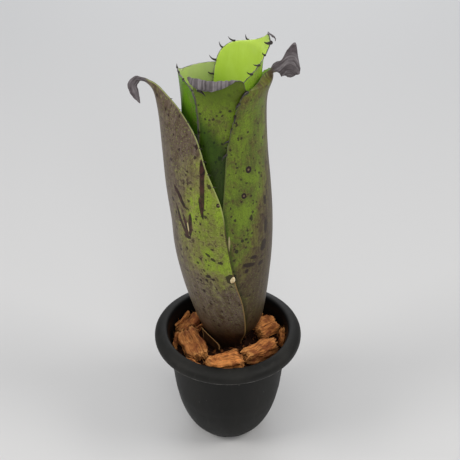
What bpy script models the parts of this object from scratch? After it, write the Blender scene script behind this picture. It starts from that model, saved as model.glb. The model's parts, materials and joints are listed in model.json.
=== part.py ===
"""Potted tube bromeliad: a rosette of stiff leaves rolled into a tall water tank, standing in
a round nursery pot filled with coconut husk.

The origin is the centre of the pot's flat foot, +Z is up and -Y is the front.
"""
import math

import bmesh
import bpy
import numpy as np
from mathutils import Matrix

# ---------------------------------------------------------------- driving dimensions (metres)
POT_HEIGHT = 0.1062
RIM_RADIUS = 0.0625
POT_WALL = 0.0013
FOOT_RADIUS = 0.0249
POT_STEPS = 48
DRAIN_HOLES = 5
DRAIN_RADIUS = 0.0028
DRAIN_RING = 0.0165

GAP = 0.0004
MEDIUM_FLOOR = 0.0020
MEDIUM_TOP = 0.0860

PLANT_Y = 0.010           # the plant stands a little behind the pot's centre
LEAF_THICKNESS = 0.0009
LEAF_COLUMNS = 16
LEAF_BOTTOM = 0.082
SOCKET_FLOOR = 0.0800
SOCKET_RADIUS = 0.0160
STEM_RADIUS = 0.0042
STEM_BOTTOM = 0.066
STEM_TOP = 0.096

# Every leaf has its rows at these heights while it lies on the tube, so neighbours stay parallel.
SHARED_HEIGHTS = [LEAF_BOTTOM + 0.0055 * k for k in range(7)] + [0.128 + 0.0160 * k for k in range(13)]

# The leaf tube, from the base up: height, shift of its axis along X, outer radius.
TUBE = (
    (0.080, 0.0000, 0.0130),
    (0.090, 0.0000, 0.0165),
    (0.100, 0.0015, 0.0220),
    (0.112, 0.0025, 0.0278),
    (0.130, 0.0012, 0.0322),
    (0.155, -0.0008, 0.0366),
    (0.185, -0.0026, 0.0402),
    (0.215, -0.0038, 0.0412),
    (0.245, -0.0046, 0.0398),
    (0.275, -0.0046, 0.0368),
    (0.305, -0.0042, 0.0348),
    (0.335, -0.0046, 0.0360),
    (0.365, -0.0054, 0.0396),
)

# Husk chips: angle round the pot, distance from its axis, length, width, height, turn from the
# tangent, tilt, roll, and the height of what the chip rests on.
CHIPS = (
    (-94, 30.0, 28, 15.5, 9.0, 2, 4, -6, 0.0),
    (-33, 32.5, 29, 13.0, 5.5, -27, 3, -4, 0.0),
    (-33, 33.0, 27, 12.0, 5.0, -21, 2, -3, 7.6),
    (24, 36.0, 18, 17.0, 11.0, 6, 5, -6, 0.0),
    (1, 45.6, 12, 4.0, 10.5, 2, 6, 0, 0.0),
    (197, 30.5, 29, 18.0, 9.5, 4, 5, 5, 0.0),
    (150, 38.4, 25, 9.0, 7.5, -4, 4, 7, 0.0),
    (150, 45.7, 19, 2.8, 9.0, 0, 3, 0, 0.0),
    (145, 29.2, 11, 3.0, 6.5, 6, -8, 0, 0.0),
    (-84, 18.4, 9, 4.5, 5.5, 20, 6, 0, 0.0),
    (183, 45.4, 13, 2.4, 8.0, 4, 4, 0, 0.0),
    (112, 39.0, 19, 9.0, 6.5, 5, 3, -4, 0.0),
    (84, 41.0, 17, 8.0, 6.0, -4, 3, 3, 0.0),
    (58, 39.5, 17, 9.5, 7.0, 5, 4, 4, 0.0),
    (-133, 43.0, 15, 4.0, 7.0, 0, 3, 0, 0.0),
)


def clear_scene():
    for item in list(bpy.data.objects):
        bpy.data.objects.remove(item, do_unlink=True)


def new_collection(name):
    group = bpy.data.collections.new(name)
    bpy.context.scene.collection.children.link(group)
    return group


clear_scene()
PARTS = new_collection("potted_bromeliad")
CUTTERS = new_collection("cutters")


# ---------------------------------------------------------------- helpers
def material(name, colour, roughness, metallic=0.0):
    made = bpy.data.materials.get(name)
    if made is None:
        made = bpy.data.materials.new(name)
        made.use_nodes = True
        shader = made.node_tree.nodes["Principled BSDF"]
        shader.inputs["Base Color"].default_value = (*colour, 1.0)
        shader.inputs["Roughness"].default_value = roughness
        shader.inputs["Metallic"].default_value = metallic
    return made


def add_object(name, mesh, group, surface=None):
    item = bpy.data.objects.new(name, mesh)
    group.objects.link(item)
    if surface is not None:
        mesh.materials.append(surface)
    return item


def turned(name, profile, steps, group, surface=None):
    """Revolve a profile of (radius, height) points, given down the outer side, about Z."""
    mesh = bpy.data.meshes.new(name)
    points = [(radius, 0.0, height) for radius, height in profile]
    mesh.from_pydata(points, [(k, k + 1) for k in range(len(points) - 1)], [])
    item = add_object(name, mesh, group, surface)
    screw = item.modifiers.new("Turn", "SCREW")
    screw.steps = steps
    screw.render_steps = steps
    screw.use_merge_vertices = True
    screw.merge_threshold = 0.00001
    screw.use_smooth_shade = True
    return item


def cut(item, cutter):
    cutter.hide_render = True
    cutter.display_type = "WIRE"
    boolean = item.modifiers.new("Cut " + cutter.name, "BOOLEAN")
    boolean.operation = "DIFFERENCE"
    boolean.solver = "EXACT"
    boolean.object = cutter


def cylinder_cutter(name, radius, low, high, x, y, sides):
    mesh = bpy.data.meshes.new(name)
    form = bmesh.new()
    bmesh.ops.create_cone(form, cap_ends=True, segments=sides, radius1=radius, radius2=radius,
                          depth=high - low)
    form.to_mesh(mesh)
    form.free()
    cutter = add_object(name, mesh, CUTTERS)
    cutter.location = (x, y, (low + high) / 2)
    return cutter


def spline(rows, places):
    """Catmull-Rom curve through rows of values, read at places counted in rows."""
    rows = np.asarray(rows, dtype=float)
    last = len(rows) - 1
    places = np.clip(places, 0.0, last - 1e-9)
    index = places.astype(int)
    part = (places - index)[:, None]
    p1 = rows[index]
    p2 = rows[index + 1]
    p0 = np.where((index > 0)[:, None], rows[np.maximum(index - 1, 0)], 2 * p1 - p2)
    p3 = np.where((index < last - 1)[:, None], rows[np.minimum(index + 2, last)], 2 * p2 - p1)
    return 0.5 * (2 * p1 + (p2 - p0) * part + (2 * p0 - 5 * p1 + 4 * p2 - p3) * part ** 2
                  + (3 * p1 - p0 - 3 * p2 + p3) * part ** 3)


TUBE_CURVE = spline(TUBE, np.linspace(0, len(TUBE) - 1, 400))


def tube_axis(height):
    return float(np.interp(height, TUBE_CURVE[:, 0], TUBE_CURVE[:, 1]))


def tube_radius(height, layer):
    """Outer radius of a leaf: layer 0 is the outermost, each further one nests inside it."""
    outer = float(np.interp(height, TUBE_CURVE[:, 0], TUBE_CURVE[:, 2]))
    return outer - layer * (LEAF_THICKNESS + 0.00045 + 0.008 * outer)


# ---------------------------------------------------------------- pot
def pot_profile():
    """Inner floor, inner wall, rolled rim, tapered outer wall and rounded foot."""
    outer = [(0.0306, 0.0040), (0.0345, 0.0090), (0.0382, 0.0163), (0.0412, 0.0245),
             (0.0434, 0.0326), (0.0450, 0.0408), (0.0463, 0.0490), (0.0484, 0.0700),
             (0.0506, 0.0920), (0.0513, 0.0985)]
    inner = [(radius - POT_WALL, height) for radius, height in outer[1:]]
    inner_edge = [(0.0508, 0.1030), (0.0525, POT_HEIGHT)]
    roll = [(0.0560, POT_HEIGHT), (0.0594, 0.1050), (0.0618, 0.1028),
            (RIM_RADIUS, 0.1003), (0.0622, 0.0974), (0.0612, 0.0966)]
    under_roll = [(0.0609, 0.0990), (0.0592, 0.1020), (0.0562, 0.1043), (0.0536, 0.1036)]
    foot = [(FOOT_RADIUS + 0.0030, 0.0014), (FOOT_RADIUS, 0.0), (0.0, 0.0)]
    floor = [(0.0, POT_WALL), (0.0270, POT_WALL), (0.0292, 0.0042)]
    return floor + inner + inner_edge + roll + under_roll + outer[::-1] + foot


def make_pot():
    plastic = material("charcoal_plastic", (0.022, 0.024, 0.026), 0.55)
    pot = turned("pot", pot_profile(), POT_STEPS, PARTS, plastic)
    for number in range(DRAIN_HOLES):
        angle = math.tau * number / DRAIN_HOLES
        cutter = cylinder_cutter(f"drain_cutter_{number + 1}", DRAIN_RADIUS, -0.002, 0.004,
                                 DRAIN_RING * math.sin(angle), DRAIN_RING * math.cos(angle), 12)
        cut(pot, cutter)


def make_potting_mix():
    """Bulk husk filling the pot, with a stepped socket where the plant stands."""
    husk = material("coconut_husk", (0.16, 0.075, 0.034), 0.95)
    side = [(0.0500, MEDIUM_TOP), (0.0462, 0.0490), (0.0433, 0.0326), (0.0381, 0.0163),
            (0.0306, 0.0068), (0.0268, MEDIUM_FLOOR)]
    inset = POT_WALL + GAP + 0.0003
    walls = [(radius - inset, height) for radius, height in side]
    profile = [(0.0, MEDIUM_TOP)] + walls + [(0.0, MEDIUM_FLOOR)]
    mix = turned("potting_mix", profile, 40, PARTS, husk)
    over = MEDIUM_TOP + 0.004
    cut(mix, cylinder_cutter("leaf_socket", SOCKET_RADIUS, SOCKET_FLOOR, over, 0.0, PLANT_Y, 28))
    cut(mix, cylinder_cutter("stem_socket", STEM_RADIUS + GAP, STEM_BOTTOM - GAP, over,
                             0.0, PLANT_Y, 16))


def make_stem():
    wood = material("stem_tissue", (0.20, 0.13, 0.06), 0.8)
    profile = [(0.0, STEM_TOP), (STEM_RADIUS * 0.8, STEM_TOP), (STEM_RADIUS, STEM_TOP - 0.004),
               (STEM_RADIUS, STEM_BOTTOM + 0.004), (STEM_RADIUS * 0.8, STEM_BOTTOM),
               (0.0, STEM_BOTTOM)]
    stem = turned("stem_base", profile, 16, PARTS, wood)
    stem.location = (0.0, PLANT_Y, 0.0)


# ---------------------------------------------------------------- husk chips
def make_chip(number, angle, distance, length, width, height, turn, tilt, roll, lift):
    """A broken block of husk fibre, long way round the pot, resting on its lowest corner."""
    husk = material("husk_chip_fibre", (0.36, 0.17, 0.075), 0.95)
    mesh = bpy.data.meshes.new(f"husk_chip_{number:02d}")
    form = bmesh.new()
    bmesh.ops.create_cube(form, size=1.0)
    long_edges = [edge for edge in form.edges
                  if abs(edge.verts[0].co.x - edge.verts[1].co.x) > 0.5]
    bmesh.ops.subdivide_edges(form, edges=long_edges, cuts=3, use_grid_fill=True)
    for vert in form.verts:
        place = vert.co.copy()
        ragged = math.sin(5.1 * number + 7.0 * place.x + 3.0 * place.y + 2.0 * place.z)
        taper = 1.0 - 0.30 * abs(place.x) ** 1.5 + 0.05 * ragged
        vert.co.x = place.x * length * (1.0 - 0.06 * (1 + ragged) * abs(place.y)) / 1000
        vert.co.y = place.y * width * taper / 1000
        vert.co.z = place.z * height * (taper + 0.04 * ragged) / 1000
    spin = math.radians(angle)
    turn_matrix = (Matrix.Rotation(spin + math.radians(90 + turn), 4, "Z")
                   @ Matrix.Rotation(math.radians(tilt), 4, "Y")
                   @ Matrix.Rotation(math.radians(roll), 4, "X"))
    bmesh.ops.transform(form, matrix=turn_matrix, verts=form.verts)
    lowest = min(vert.co.z for vert in form.verts)
    rest = MEDIUM_TOP + GAP + lift / 1000 - lowest
    form.to_mesh(mesh)
    form.free()
    chip = add_object(mesh.name, mesh, PARTS, husk)
    chip.location = (distance / 1000 * math.cos(spin), distance / 1000 * math.sin(spin), rest)


# ---------------------------------------------------------------- leaves
def wrapped(height, left, right, flare=0.0):
    """A station where the leaf lies on the tube: half angles to its left and right margin."""
    return ("wrapped", height, left, right, flare)


def free(height, out, curl, lean, twist, left, right, turn=0.0):
    """A station clear of the tube: its midrib's distance from the axis, the radius it is
    rolled to, the lean of its midrib from upright, and its twist about the midrib."""
    return ("free", height, out, curl, lean, twist, turn, left, right)


def station_values(layer, stations):
    """Stations as plain rows, their two radii counted from the tube's own."""
    values = []
    for station in stations:
        if station[0] == "wrapped":
            _, height, left, right, flare = station
            values.append((height, flare, flare, 0.0, 0.0, 0.0, left, right))
        else:
            _, height, out, curl, *angles = station
            radius = tube_radius(height, layer)
            values.append((height, out - radius, curl - radius, *angles))
    return values


def row_places(values, shared_top, rows_per_span):
    """Where along its stations a leaf has rows: shared heights first, then its own spacing."""
    spans = len(values) - 1
    dense = np.linspace(0, spans, 60 * spans + 1)
    heights = spline(values, dense)[:, 0]
    rising = int(np.argmax(heights > shared_top))
    shared = [height for height in SHARED_HEIGHTS if height < shared_top - 0.002]
    low = np.interp(shared, heights[:rising + 1], dense[:rising + 1])
    start = dense[rising]
    high = np.linspace(start, spans, math.ceil((spans - start) * rows_per_span) + 1)
    return np.concatenate((low, high))


def leaf_grid(azimuth, layer, stations, shared_top, rows_per_span, columns):
    """Points of the leaf's outer face, row by row from its base, from left to right margin."""
    values = station_values(layer, stations)
    grid = []
    for row in spline(values, row_places(values, shared_top, rows_per_span)):
        height, out, curl, lean, twist, turn, left, right = row
        out += tube_radius(height, layer)
        curl += tube_radius(height, layer)
        around = math.radians(azimuth + turn)
        outward = np.array((math.sin(around), -math.cos(around), 0.0))
        sideways = np.array((math.cos(around), math.sin(around), 0.0))
        upward = np.array((0.0, 0.0, 1.0))
        tipped = math.radians(lean)
        inward = math.sin(tipped) * upward - math.cos(tipped) * outward
        rolled = math.radians(twist)
        across = math.cos(rolled) * sideways + math.sin(rolled) * inward
        depth = math.cos(rolled) * inward - math.sin(rolled) * sideways
        midrib = np.array((tube_axis(height), PLANT_Y, height)) + out * outward
        least = 0.08 * (left + right)
        middle = min(max(0.0, least - left), right - least)
        for column in range(columns + 1):
            share = 2.0 * column / columns - 1.0
            angle = math.radians(middle + share * (right - middle if share > 0 else left + middle))
            grid.append(midrib + curl * (math.sin(angle) * across
                                         + (1 - math.cos(angle)) * depth))
    return grid


def make_leaf(name, surface, azimuth, layer, stations, shared_top=0.322, rows_per_span=2,
              columns=LEAF_COLUMNS):
    points = leaf_grid(azimuth, layer, stations, shared_top, rows_per_span, columns)
    wide = columns + 1
    rows = len(points) // wide
    faces = []
    for row in range(rows - 1):
        for column in range(columns):
            corner = row * wide + column
            faces.append((corner, corner + 1, corner + wide + 1, corner + wide))
    mesh = bpy.data.meshes.new(name)
    mesh.from_pydata([tuple(point) for point in points], [], faces)
    mesh.shade_smooth()
    leaf = add_object(name, mesh, PARTS, surface)
    shell = leaf.modifiers.new("Thickness", "SOLIDIFY")
    shell.thickness = LEAF_THICKNESS
    shell.offset = -1.0
    shell.use_rim = True


def make_left_outer():
    """Outermost leaf: its top leaves the tube, narrows and hooks down to a dry tip."""
    leaf = material("leaf_olive_purple", (0.20, 0.19, 0.09), 0.5)
    make_leaf("leaf_left_outer", leaf, -90, 0, (
        wrapped(LEAF_BOTTOM, 170, 155),
        wrapped(0.095, 150, 125),
        wrapped(0.110, 130, 117),
        wrapped(0.130, 118, 114),
        wrapped(0.150, 112, 110),
        wrapped(0.170, 108, 103),
        wrapped(0.190, 104, 99),
        wrapped(0.215, 100, 95),
        free(0.245, 0.0434, 0.0400, 0, 0, 94, 95),
        free(0.275, 0.0450, 0.0370, 0, 0, 70, 86),
        free(0.298, 0.0465, 0.0310, 2, 0, 42, 85),
        free(0.312, 0.0479, 0.0225, 10, 0, 20, 82),
        free(0.321, 0.0496, 0.0110, 28, 0, 10, 84),
        free(0.3262, 0.0530, 0.0048, 58, 15, 30, 80),
        free(0.3290, 0.0572, 0.0055, 80, 40, 34, 42),
        free(0.3293, 0.0610, 0.0080, 112, 65, 25, 28),
        free(0.3250, 0.0642, 0.0090, 160, 75, 21, 27),
        free(0.3187, 0.0630, 0.0090, 195, 75, 19, 21),
        free(0.3110, 0.0602, 0.0090, 202, 75, 2, 2),
    ), shared_top=0.240)


def make_right_outer():
    """Second leaf: wraps the right side and ends in a neck with a dry, flag-like tip."""
    leaf = material("leaf_olive_green", (0.17, 0.22, 0.07), 0.45)
    make_leaf("leaf_right_outer", leaf, 85, 1, (
        wrapped(LEAF_BOTTOM, 160, 160),
        wrapped(0.095, 135, 140),
        wrapped(0.110, 118, 120),
        wrapped(0.130, 108, 112),
        wrapped(0.155, 100, 108),
        wrapped(0.185, 94, 104),
        wrapped(0.215, 88, 102),
        wrapped(0.240, 84, 100),
        wrapped(0.265, 81, 96),
        wrapped(0.285, 79, 88),
        wrapped(0.300, 75, 76),
        wrapped(0.315, 69, 60),
        wrapped(0.324, 65, 44, 0.0010),
        free(0.3315, 0.0372, 0.0310, 0, 0, 68, 34),
        free(0.3345, 0.0377, 0.0290, 0, 0, 61, 27),
        free(0.3362, 0.0374, 0.0240, 9, -10, 42, 20),
        free(0.3376, 0.0392, 0.0120, 48, -45, 27, 24),
        free(0.3400, 0.0430, 0.0400, 83, -80, 9, 10),
        free(0.3444, 0.0470, 0.0400, 90, -85, 14, 17),
        free(0.3453, 0.0513, 0.0400, 95, -85, 21, 21),
        free(0.3425, 0.0540, 0.0400, 95, -85, 12, 12),
        free(0.3385, 0.0567, 0.0400, 95, -85, 3, 3),
    ))


def make_front():
    """Middle leaf at the front: its dry top edge folds over outwards."""
    leaf = material("leaf_mottled_green", (0.21, 0.26, 0.08), 0.4)
    make_leaf("leaf_front", leaf, -5, 2, (
        wrapped(LEAF_BOTTOM, 168, 160),
        wrapped(0.110, 110, 110),
        wrapped(0.150, 80, 90),
        wrapped(0.200, 55, 76),
        wrapped(0.250, 37, 68),
        wrapped(0.290, 26, 62),
        wrapped(0.320, 28, 50),
        wrapped(0.333, 31, 38),
        wrapped(0.3405, 33, 34),
        wrapped(0.3430, 33, 28, 0.0008),
        wrapped(0.3440, 34, 22, 0.0024),
        wrapped(0.3430, 31, 16, 0.0042),
        wrapped(0.3408, 26, 8, 0.0052),
        wrapped(0.3382, 19, -4, 0.0055),
    ))


def make_back_left():
    """Fourth leaf: closes the back and left of the tube, with a flat, withered top edge."""
    leaf = material("leaf_inner_green", (0.24, 0.38, 0.09), 0.35)
    make_leaf("leaf_back_left", leaf, -140, 3, (
        wrapped(LEAF_BOTTOM, 165, 165),
        wrapped(0.110, 120, 130),
        wrapped(0.150, 100, 115),
        wrapped(0.200, 90, 112),
        wrapped(0.250, 75, 110),
        wrapped(0.290, 62, 108),
        wrapped(0.315, 54, 106),
        wrapped(0.324, 50, 104),
        wrapped(0.3300, 38, 101),
        wrapped(0.3312, 20, 99),
        wrapped(0.3318, -4, 98),
        wrapped(0.3338, -28, 96),
        wrapped(0.3362, -39, 90),
        wrapped(0.3382, -46, 79),
        wrapped(0.3394, -50, 66),
    ))


def make_back_tall():
    """Innermost and tallest leaf, at the back, running out to a small hooked point."""
    leaf = material("leaf_bright_green", (0.42, 0.60, 0.12), 0.3)
    make_leaf("leaf_back_tall", leaf, 100, 4, (
        wrapped(LEAF_BOTTOM, 168, 168),
        wrapped(0.110, 130, 140),
        wrapped(0.150, 115, 120),
        wrapped(0.200, 105, 110),
        wrapped(0.250, 95, 102),
        wrapped(0.290, 86, 98),
        wrapped(0.315, 80, 95),
        wrapped(0.330, 76, 90),
        wrapped(0.339, 68, 83),
        wrapped(0.3445, 50, 73),
        wrapped(0.3475, 36, 62),
        wrapped(0.3500, 24, 43, 0.0005),
        wrapped(0.3530, 20, 26, 0.0020),
        wrapped(0.3585, 16, 12, 0.0035),
        wrapped(0.3640, 14, -2, 0.0020),
        free(0.3660, 0.0345, 0.0100, 50, 0, 16, 6, -14),
        free(0.3635, 0.0377, 0.0050, 110, 0, 12, 12, -14),
        free(0.3605, 0.0392, 0.0040, 130, 0, 4, 4, -14),
    ))


def make_dry_bract():
    """A withered scale left standing outside the leaves at their foot."""
    bract = material("dry_bract", (0.14, 0.085, 0.05), 0.9)
    make_leaf("dry_bract", bract, -42, -1, (
        wrapped(0.0888, 20, 24, 0.0054),
        wrapped(0.0934, 24, 24, 0.0038),
        wrapped(0.0975, 26, 18, 0.0022),
        wrapped(0.1020, 26, 4, 0.0010),
        wrapped(0.1055, 24, -10, 0.0005),
    ), shared_top=LEAF_BOTTOM, columns=8)


make_pot()
make_potting_mix()
make_stem()
for chip_number, chip_values in enumerate(CHIPS, start=1):
    make_chip(chip_number, *chip_values)
make_left_outer()
make_right_outer()
make_front()
make_back_left()
make_back_tall()
make_dry_bract()
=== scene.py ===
"""Potted tube bromeliad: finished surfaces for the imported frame, laid out as a Blender add-on.

Every operator makes one piece, or one group of like pieces, in the frame's own metres.
"""
import json
import math

import bmesh
import bpy
import numpy as np
from bpy.props import FloatProperty, FloatVectorProperty, IntProperty, PointerProperty
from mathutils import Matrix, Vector, noise

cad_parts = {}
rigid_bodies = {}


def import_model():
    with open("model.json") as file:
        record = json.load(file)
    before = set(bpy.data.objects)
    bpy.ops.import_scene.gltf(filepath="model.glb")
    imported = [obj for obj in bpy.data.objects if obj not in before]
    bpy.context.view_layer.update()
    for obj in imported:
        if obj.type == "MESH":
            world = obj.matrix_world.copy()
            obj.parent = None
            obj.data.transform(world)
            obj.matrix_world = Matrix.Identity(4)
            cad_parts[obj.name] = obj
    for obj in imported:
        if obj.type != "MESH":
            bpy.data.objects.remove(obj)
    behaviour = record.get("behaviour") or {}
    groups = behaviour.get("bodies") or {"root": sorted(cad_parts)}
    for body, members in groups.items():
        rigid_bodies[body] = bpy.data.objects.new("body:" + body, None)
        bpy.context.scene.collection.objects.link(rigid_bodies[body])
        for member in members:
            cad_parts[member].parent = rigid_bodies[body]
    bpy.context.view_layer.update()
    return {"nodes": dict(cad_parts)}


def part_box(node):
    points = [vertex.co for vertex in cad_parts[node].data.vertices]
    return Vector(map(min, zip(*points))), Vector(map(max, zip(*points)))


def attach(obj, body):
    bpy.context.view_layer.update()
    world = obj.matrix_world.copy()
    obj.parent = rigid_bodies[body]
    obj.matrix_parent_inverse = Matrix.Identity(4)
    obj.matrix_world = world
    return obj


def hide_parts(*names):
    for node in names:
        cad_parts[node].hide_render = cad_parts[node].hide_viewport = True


bl_info = {
    "name": "Potted Tube Bromeliad",
    "version": (1, 0, 0),
    "blender": (4, 5, 0),
    "location": "View3D > Sidebar > Bromeliad",
    "description": "Builds a tube bromeliad in a nursery pot of coconut husk",
    "category": "Object",
}

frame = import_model()
NODES = frame["nodes"]
POT_LOW, POT_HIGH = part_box("pot")
MIX_LOW, MIX_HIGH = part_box("potting_mix")
STEM_LOW, STEM_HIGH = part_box("stem_base")

RIM_RADIUS = (POT_HIGH[0] - POT_LOW[0]) / 2
DRAIN_HOLES = 5
DRAIN_RADIUS = 0.0028
DRAIN_RING = 0.0165
POT_HEIGHT = POT_HIGH[2]
MIX_RADIUS = (MIX_HIGH[0] - MIX_LOW[0]) / 2
MIX_TOP = MIX_HIGH[2]
PLANT_Y = (STEM_LOW[1] + STEM_HIGH[1]) / 2
SKIN_START = 0.082          # height that a leaf skin's lengthwise measure starts from
LEAF_GAP = 0.00045          # clearance between nested leaves: this much,
LEAF_SLACK = 0.008          # and this share of the tube's radius

# The leaf tube, from the base up: height, shift of its axis along X, outer radius.
TUBE = (
    (0.080, 0.0000, 0.0130),
    (0.090, 0.0000, 0.0165),
    (0.100, 0.0015, 0.0220),
    (0.112, 0.0025, 0.0278),
    (0.130, 0.0012, 0.0322),
    (0.155, -0.0008, 0.0366),
    (0.185, -0.0026, 0.0402),
    (0.215, -0.0038, 0.0412),
    (0.245, -0.0046, 0.0398),
    (0.275, -0.0046, 0.0368),
    (0.305, -0.0042, 0.0348),
    (0.335, -0.0046, 0.0360),
    (0.365, -0.0054, 0.0396),
)


def wrapped(height, left, right, flare=0.0):
    """A station where the leaf lies on the tube: half angles to its left and right margin."""
    return ("wrapped", height, left, right, flare)


def free(height, out, curl, lean, twist, left, right, turn=0.0):
    """A station clear of the tube: its midrib's distance from the axis, the radius it is
    rolled to, the lean of its midrib from upright, and its twist about the midrib."""
    return ("free", height, out, curl, lean, twist, turn, left, right)


# Each leaf: the side it grows on in degrees from the front, its layer from the outside in, its
# stations from base to tip, where it is dry and where it has dust (distances from the tip, start
# and full; on the tall back leaf the dust also paints a highlight), and the width of its dry edge.
# Its purple bloom (veil) has, at each height, the azimuth where it starts, the one where it is
# full, and how strong it is elsewhere. Painted shade darkens it below a height that changes with
# azimuth (painted_shade: height, slope, half the soft edge), and beside the margins of leaves that
# overlap it (under: leaf, full and fading distance).
LEAVES = {
    "leaf_left_outer": dict(azimuth=-90, layer=0, stations=(
        wrapped(0.082, 170, 155),
        wrapped(0.095, 150, 125),
        wrapped(0.110, 130, 117),
        wrapped(0.130, 118, 114),
        wrapped(0.150, 112, 110),
        wrapped(0.170, 108, 103),
        wrapped(0.190, 104, 99),
        wrapped(0.215, 100, 95),
        free(0.245, 0.0434, 0.0400, 0, 0, 94, 95),
        free(0.275, 0.0450, 0.0370, 0, 0, 70, 86),
        free(0.298, 0.0465, 0.0310, 2, 0, 42, 85),
        free(0.312, 0.0479, 0.0225, 10, 0, 20, 82),
        free(0.321, 0.0496, 0.0110, 28, 0, 10, 84),
        free(0.3262, 0.0530, 0.0048, 58, 15, 30, 80),
        free(0.3290, 0.0572, 0.0055, 80, 40, 34, 42),
        free(0.3293, 0.0610, 0.0080, 112, 65, 25, 28),
        free(0.3250, 0.0642, 0.0090, 160, 75, 21, 27),
        free(0.3187, 0.0630, 0.0090, 195, 75, 19, 21),
        free(0.3110, 0.0602, 0.0090, 202, 75, 2, 2),
    ), dry=(0.034, 0.020), scurf=(0.030, 0.015), dry_edge=0.0002, veil=(
        (0.090, 0, -60, 1.0), (0.156, 0, -60, 0.98), (0.174, -6, -66, 0.50), (0.192, -14, -72, 0.10),
        (0.245, -16, -72, 0.06), (0.280, -4, -64, 0.30), (0.300, 20, -50, 0.80), (0.33, 60, 0, 1.0))),
    "leaf_right_outer": dict(azimuth=85, layer=1, stations=(
        wrapped(0.082, 160, 160),
        wrapped(0.095, 135, 140),
        wrapped(0.110, 118, 120),
        wrapped(0.130, 108, 112),
        wrapped(0.155, 100, 108),
        wrapped(0.185, 94, 104),
        wrapped(0.215, 88, 102),
        wrapped(0.240, 84, 100),
        wrapped(0.265, 81, 96),
        wrapped(0.285, 79, 88),
        wrapped(0.300, 75, 76),
        wrapped(0.315, 69, 60),
        wrapped(0.324, 65, 44, 0.0010),
        free(0.3315, 0.0372, 0.0310, 0, 0, 68, 34),
        free(0.3345, 0.0377, 0.0290, 0, 0, 61, 27),
        free(0.3362, 0.0374, 0.0240, 9, -10, 42, 20),
        free(0.3376, 0.0392, 0.0120, 48, -45, 27, 24),
        free(0.3400, 0.0430, 0.0400, 83, -80, 9, 10),
        free(0.3444, 0.0470, 0.0400, 90, -85, 14, 17),
        free(0.3453, 0.0513, 0.0400, 95, -85, 21, 21),
        free(0.3425, 0.0540, 0.0400, 95, -85, 12, 12),
        free(0.3385, 0.0567, 0.0400, 95, -85, 3, 3),
    ), dry=(0.0270, 0.0205), scurf=(0.028, 0.018), dry_edge=0.0001, veil=(
        (0.090, 20, 60, 1.0), (0.145, 20, 60, 0.90), (0.172, 12, 50, 0.62), (0.205, 18, 56, 0.10),
        (0.240, 28, 78, 0.0), (0.270, 44, 105, 0.0), (0.320, 50, 100, 0.10), (0.345, 40, 90, 0.5)),
        under=(("leaf_left_outer", 0.0012, 0.0034),)),
    "leaf_front": dict(azimuth=-5, layer=2, stations=(
        wrapped(0.082, 168, 160),
        wrapped(0.110, 110, 110),
        wrapped(0.150, 80, 90),
        wrapped(0.200, 55, 76),
        wrapped(0.250, 37, 68),
        wrapped(0.290, 26, 62),
        wrapped(0.320, 28, 50),
        wrapped(0.333, 31, 38),
        wrapped(0.3405, 33, 34),
        wrapped(0.3430, 33, 28, 0.0008),
        wrapped(0.3440, 34, 22, 0.0024),
        wrapped(0.3430, 31, 16, 0.0042),
        wrapped(0.3408, 26, 8, 0.0052),
        wrapped(0.3382, 19, -4, 0.0055),
    ), dry=(0.0125, 0.0100), scurf=(0.0135, 0.0105), dry_edge=0.0001, veil=(
        (0.090, 180, 181, 1.0), (0.20, 180, 181, 0.35), (0.30, 180, 181, 0.08), (0.34, 180, 181, 0.0)),
        painted_shade=(0.2965, -0.00060, 0.010), under=(("leaf_left_outer", 0.0015, 0.0060),)),
    "leaf_back_left": dict(azimuth=-140, layer=3, stations=(
        wrapped(0.082, 165, 165),
        wrapped(0.110, 120, 130),
        wrapped(0.150, 100, 115),
        wrapped(0.200, 90, 112),
        wrapped(0.250, 75, 110),
        wrapped(0.290, 62, 108),
        wrapped(0.315, 54, 106),
        wrapped(0.324, 50, 104),
        wrapped(0.3300, 38, 101),
        wrapped(0.3312, 20, 99),
        wrapped(0.3318, -4, 98),
        wrapped(0.3338, -28, 96),
        wrapped(0.3362, -39, 90),
        wrapped(0.3382, -46, 79),
        wrapped(0.3394, -50, 66),
    ), dry=(0.0030, 0.0012), scurf=(0.0180, 0.0), dry_edge=0.0015, veil=(
        (0.090, 180, 181, 1.0), (0.20, 180, 181, 0.3), (0.30, 180, 181, 0.0), (0.34, 180, 181, 0.0)),
        painted_shade=(0.312, 0.0, 0.018)),
    "leaf_back_tall": dict(azimuth=100, layer=4, stations=(
        wrapped(0.082, 168, 168),
        wrapped(0.110, 130, 140),
        wrapped(0.150, 115, 120),
        wrapped(0.200, 105, 110),
        wrapped(0.250, 95, 102),
        wrapped(0.290, 86, 98),
        wrapped(0.315, 80, 95),
        wrapped(0.330, 76, 90),
        wrapped(0.339, 68, 83),
        wrapped(0.3445, 50, 73),
        wrapped(0.3475, 36, 62),
        wrapped(0.3500, 24, 43, 0.0005),
        wrapped(0.3530, 20, 26, 0.0020),
        wrapped(0.3585, 16, 12, 0.0035),
        wrapped(0.3640, 14, -2, 0.0020),
        free(0.3660, 0.0345, 0.0100, 50, 0, 16, 6, -14),
        free(0.3635, 0.0377, 0.0050, 110, 0, 12, 12, -14),
        free(0.3605, 0.0392, 0.0040, 130, 0, 4, 4, -14),
    # On this leaf the dust near the tip also paints a highlight.
    ), dry=(0.0160, 0.0075), scurf=(0.0300, 0.0100), dry_edge=0.0006, veil=(
        (0.090, 180, 181, 1.0), (0.20, 180, 181, 0.3), (0.30, 180, 181, 0.0), (0.36, 180, 181, 0.0)),
        painted_shade=(0.300, 0.0, 0.015)),
    "dry_bract": dict(azimuth=-42, layer=-1, stations=(
        wrapped(0.0888, 20, 24, 0.0054),
        wrapped(0.0934, 24, 24, 0.0038),
        wrapped(0.0975, 26, 18, 0.0022),
        wrapped(0.1020, 26, 4, 0.0010),
        wrapped(0.1055, 24, -10, 0.0005),
    ), dry=(0.0, -0.001), scurf=(0.0, -0.001), dry_edge=0.0005, veil=(
        (0.090, 180, 181, 0.0), (0.120, 180, 181, 0.0))),
}

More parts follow.
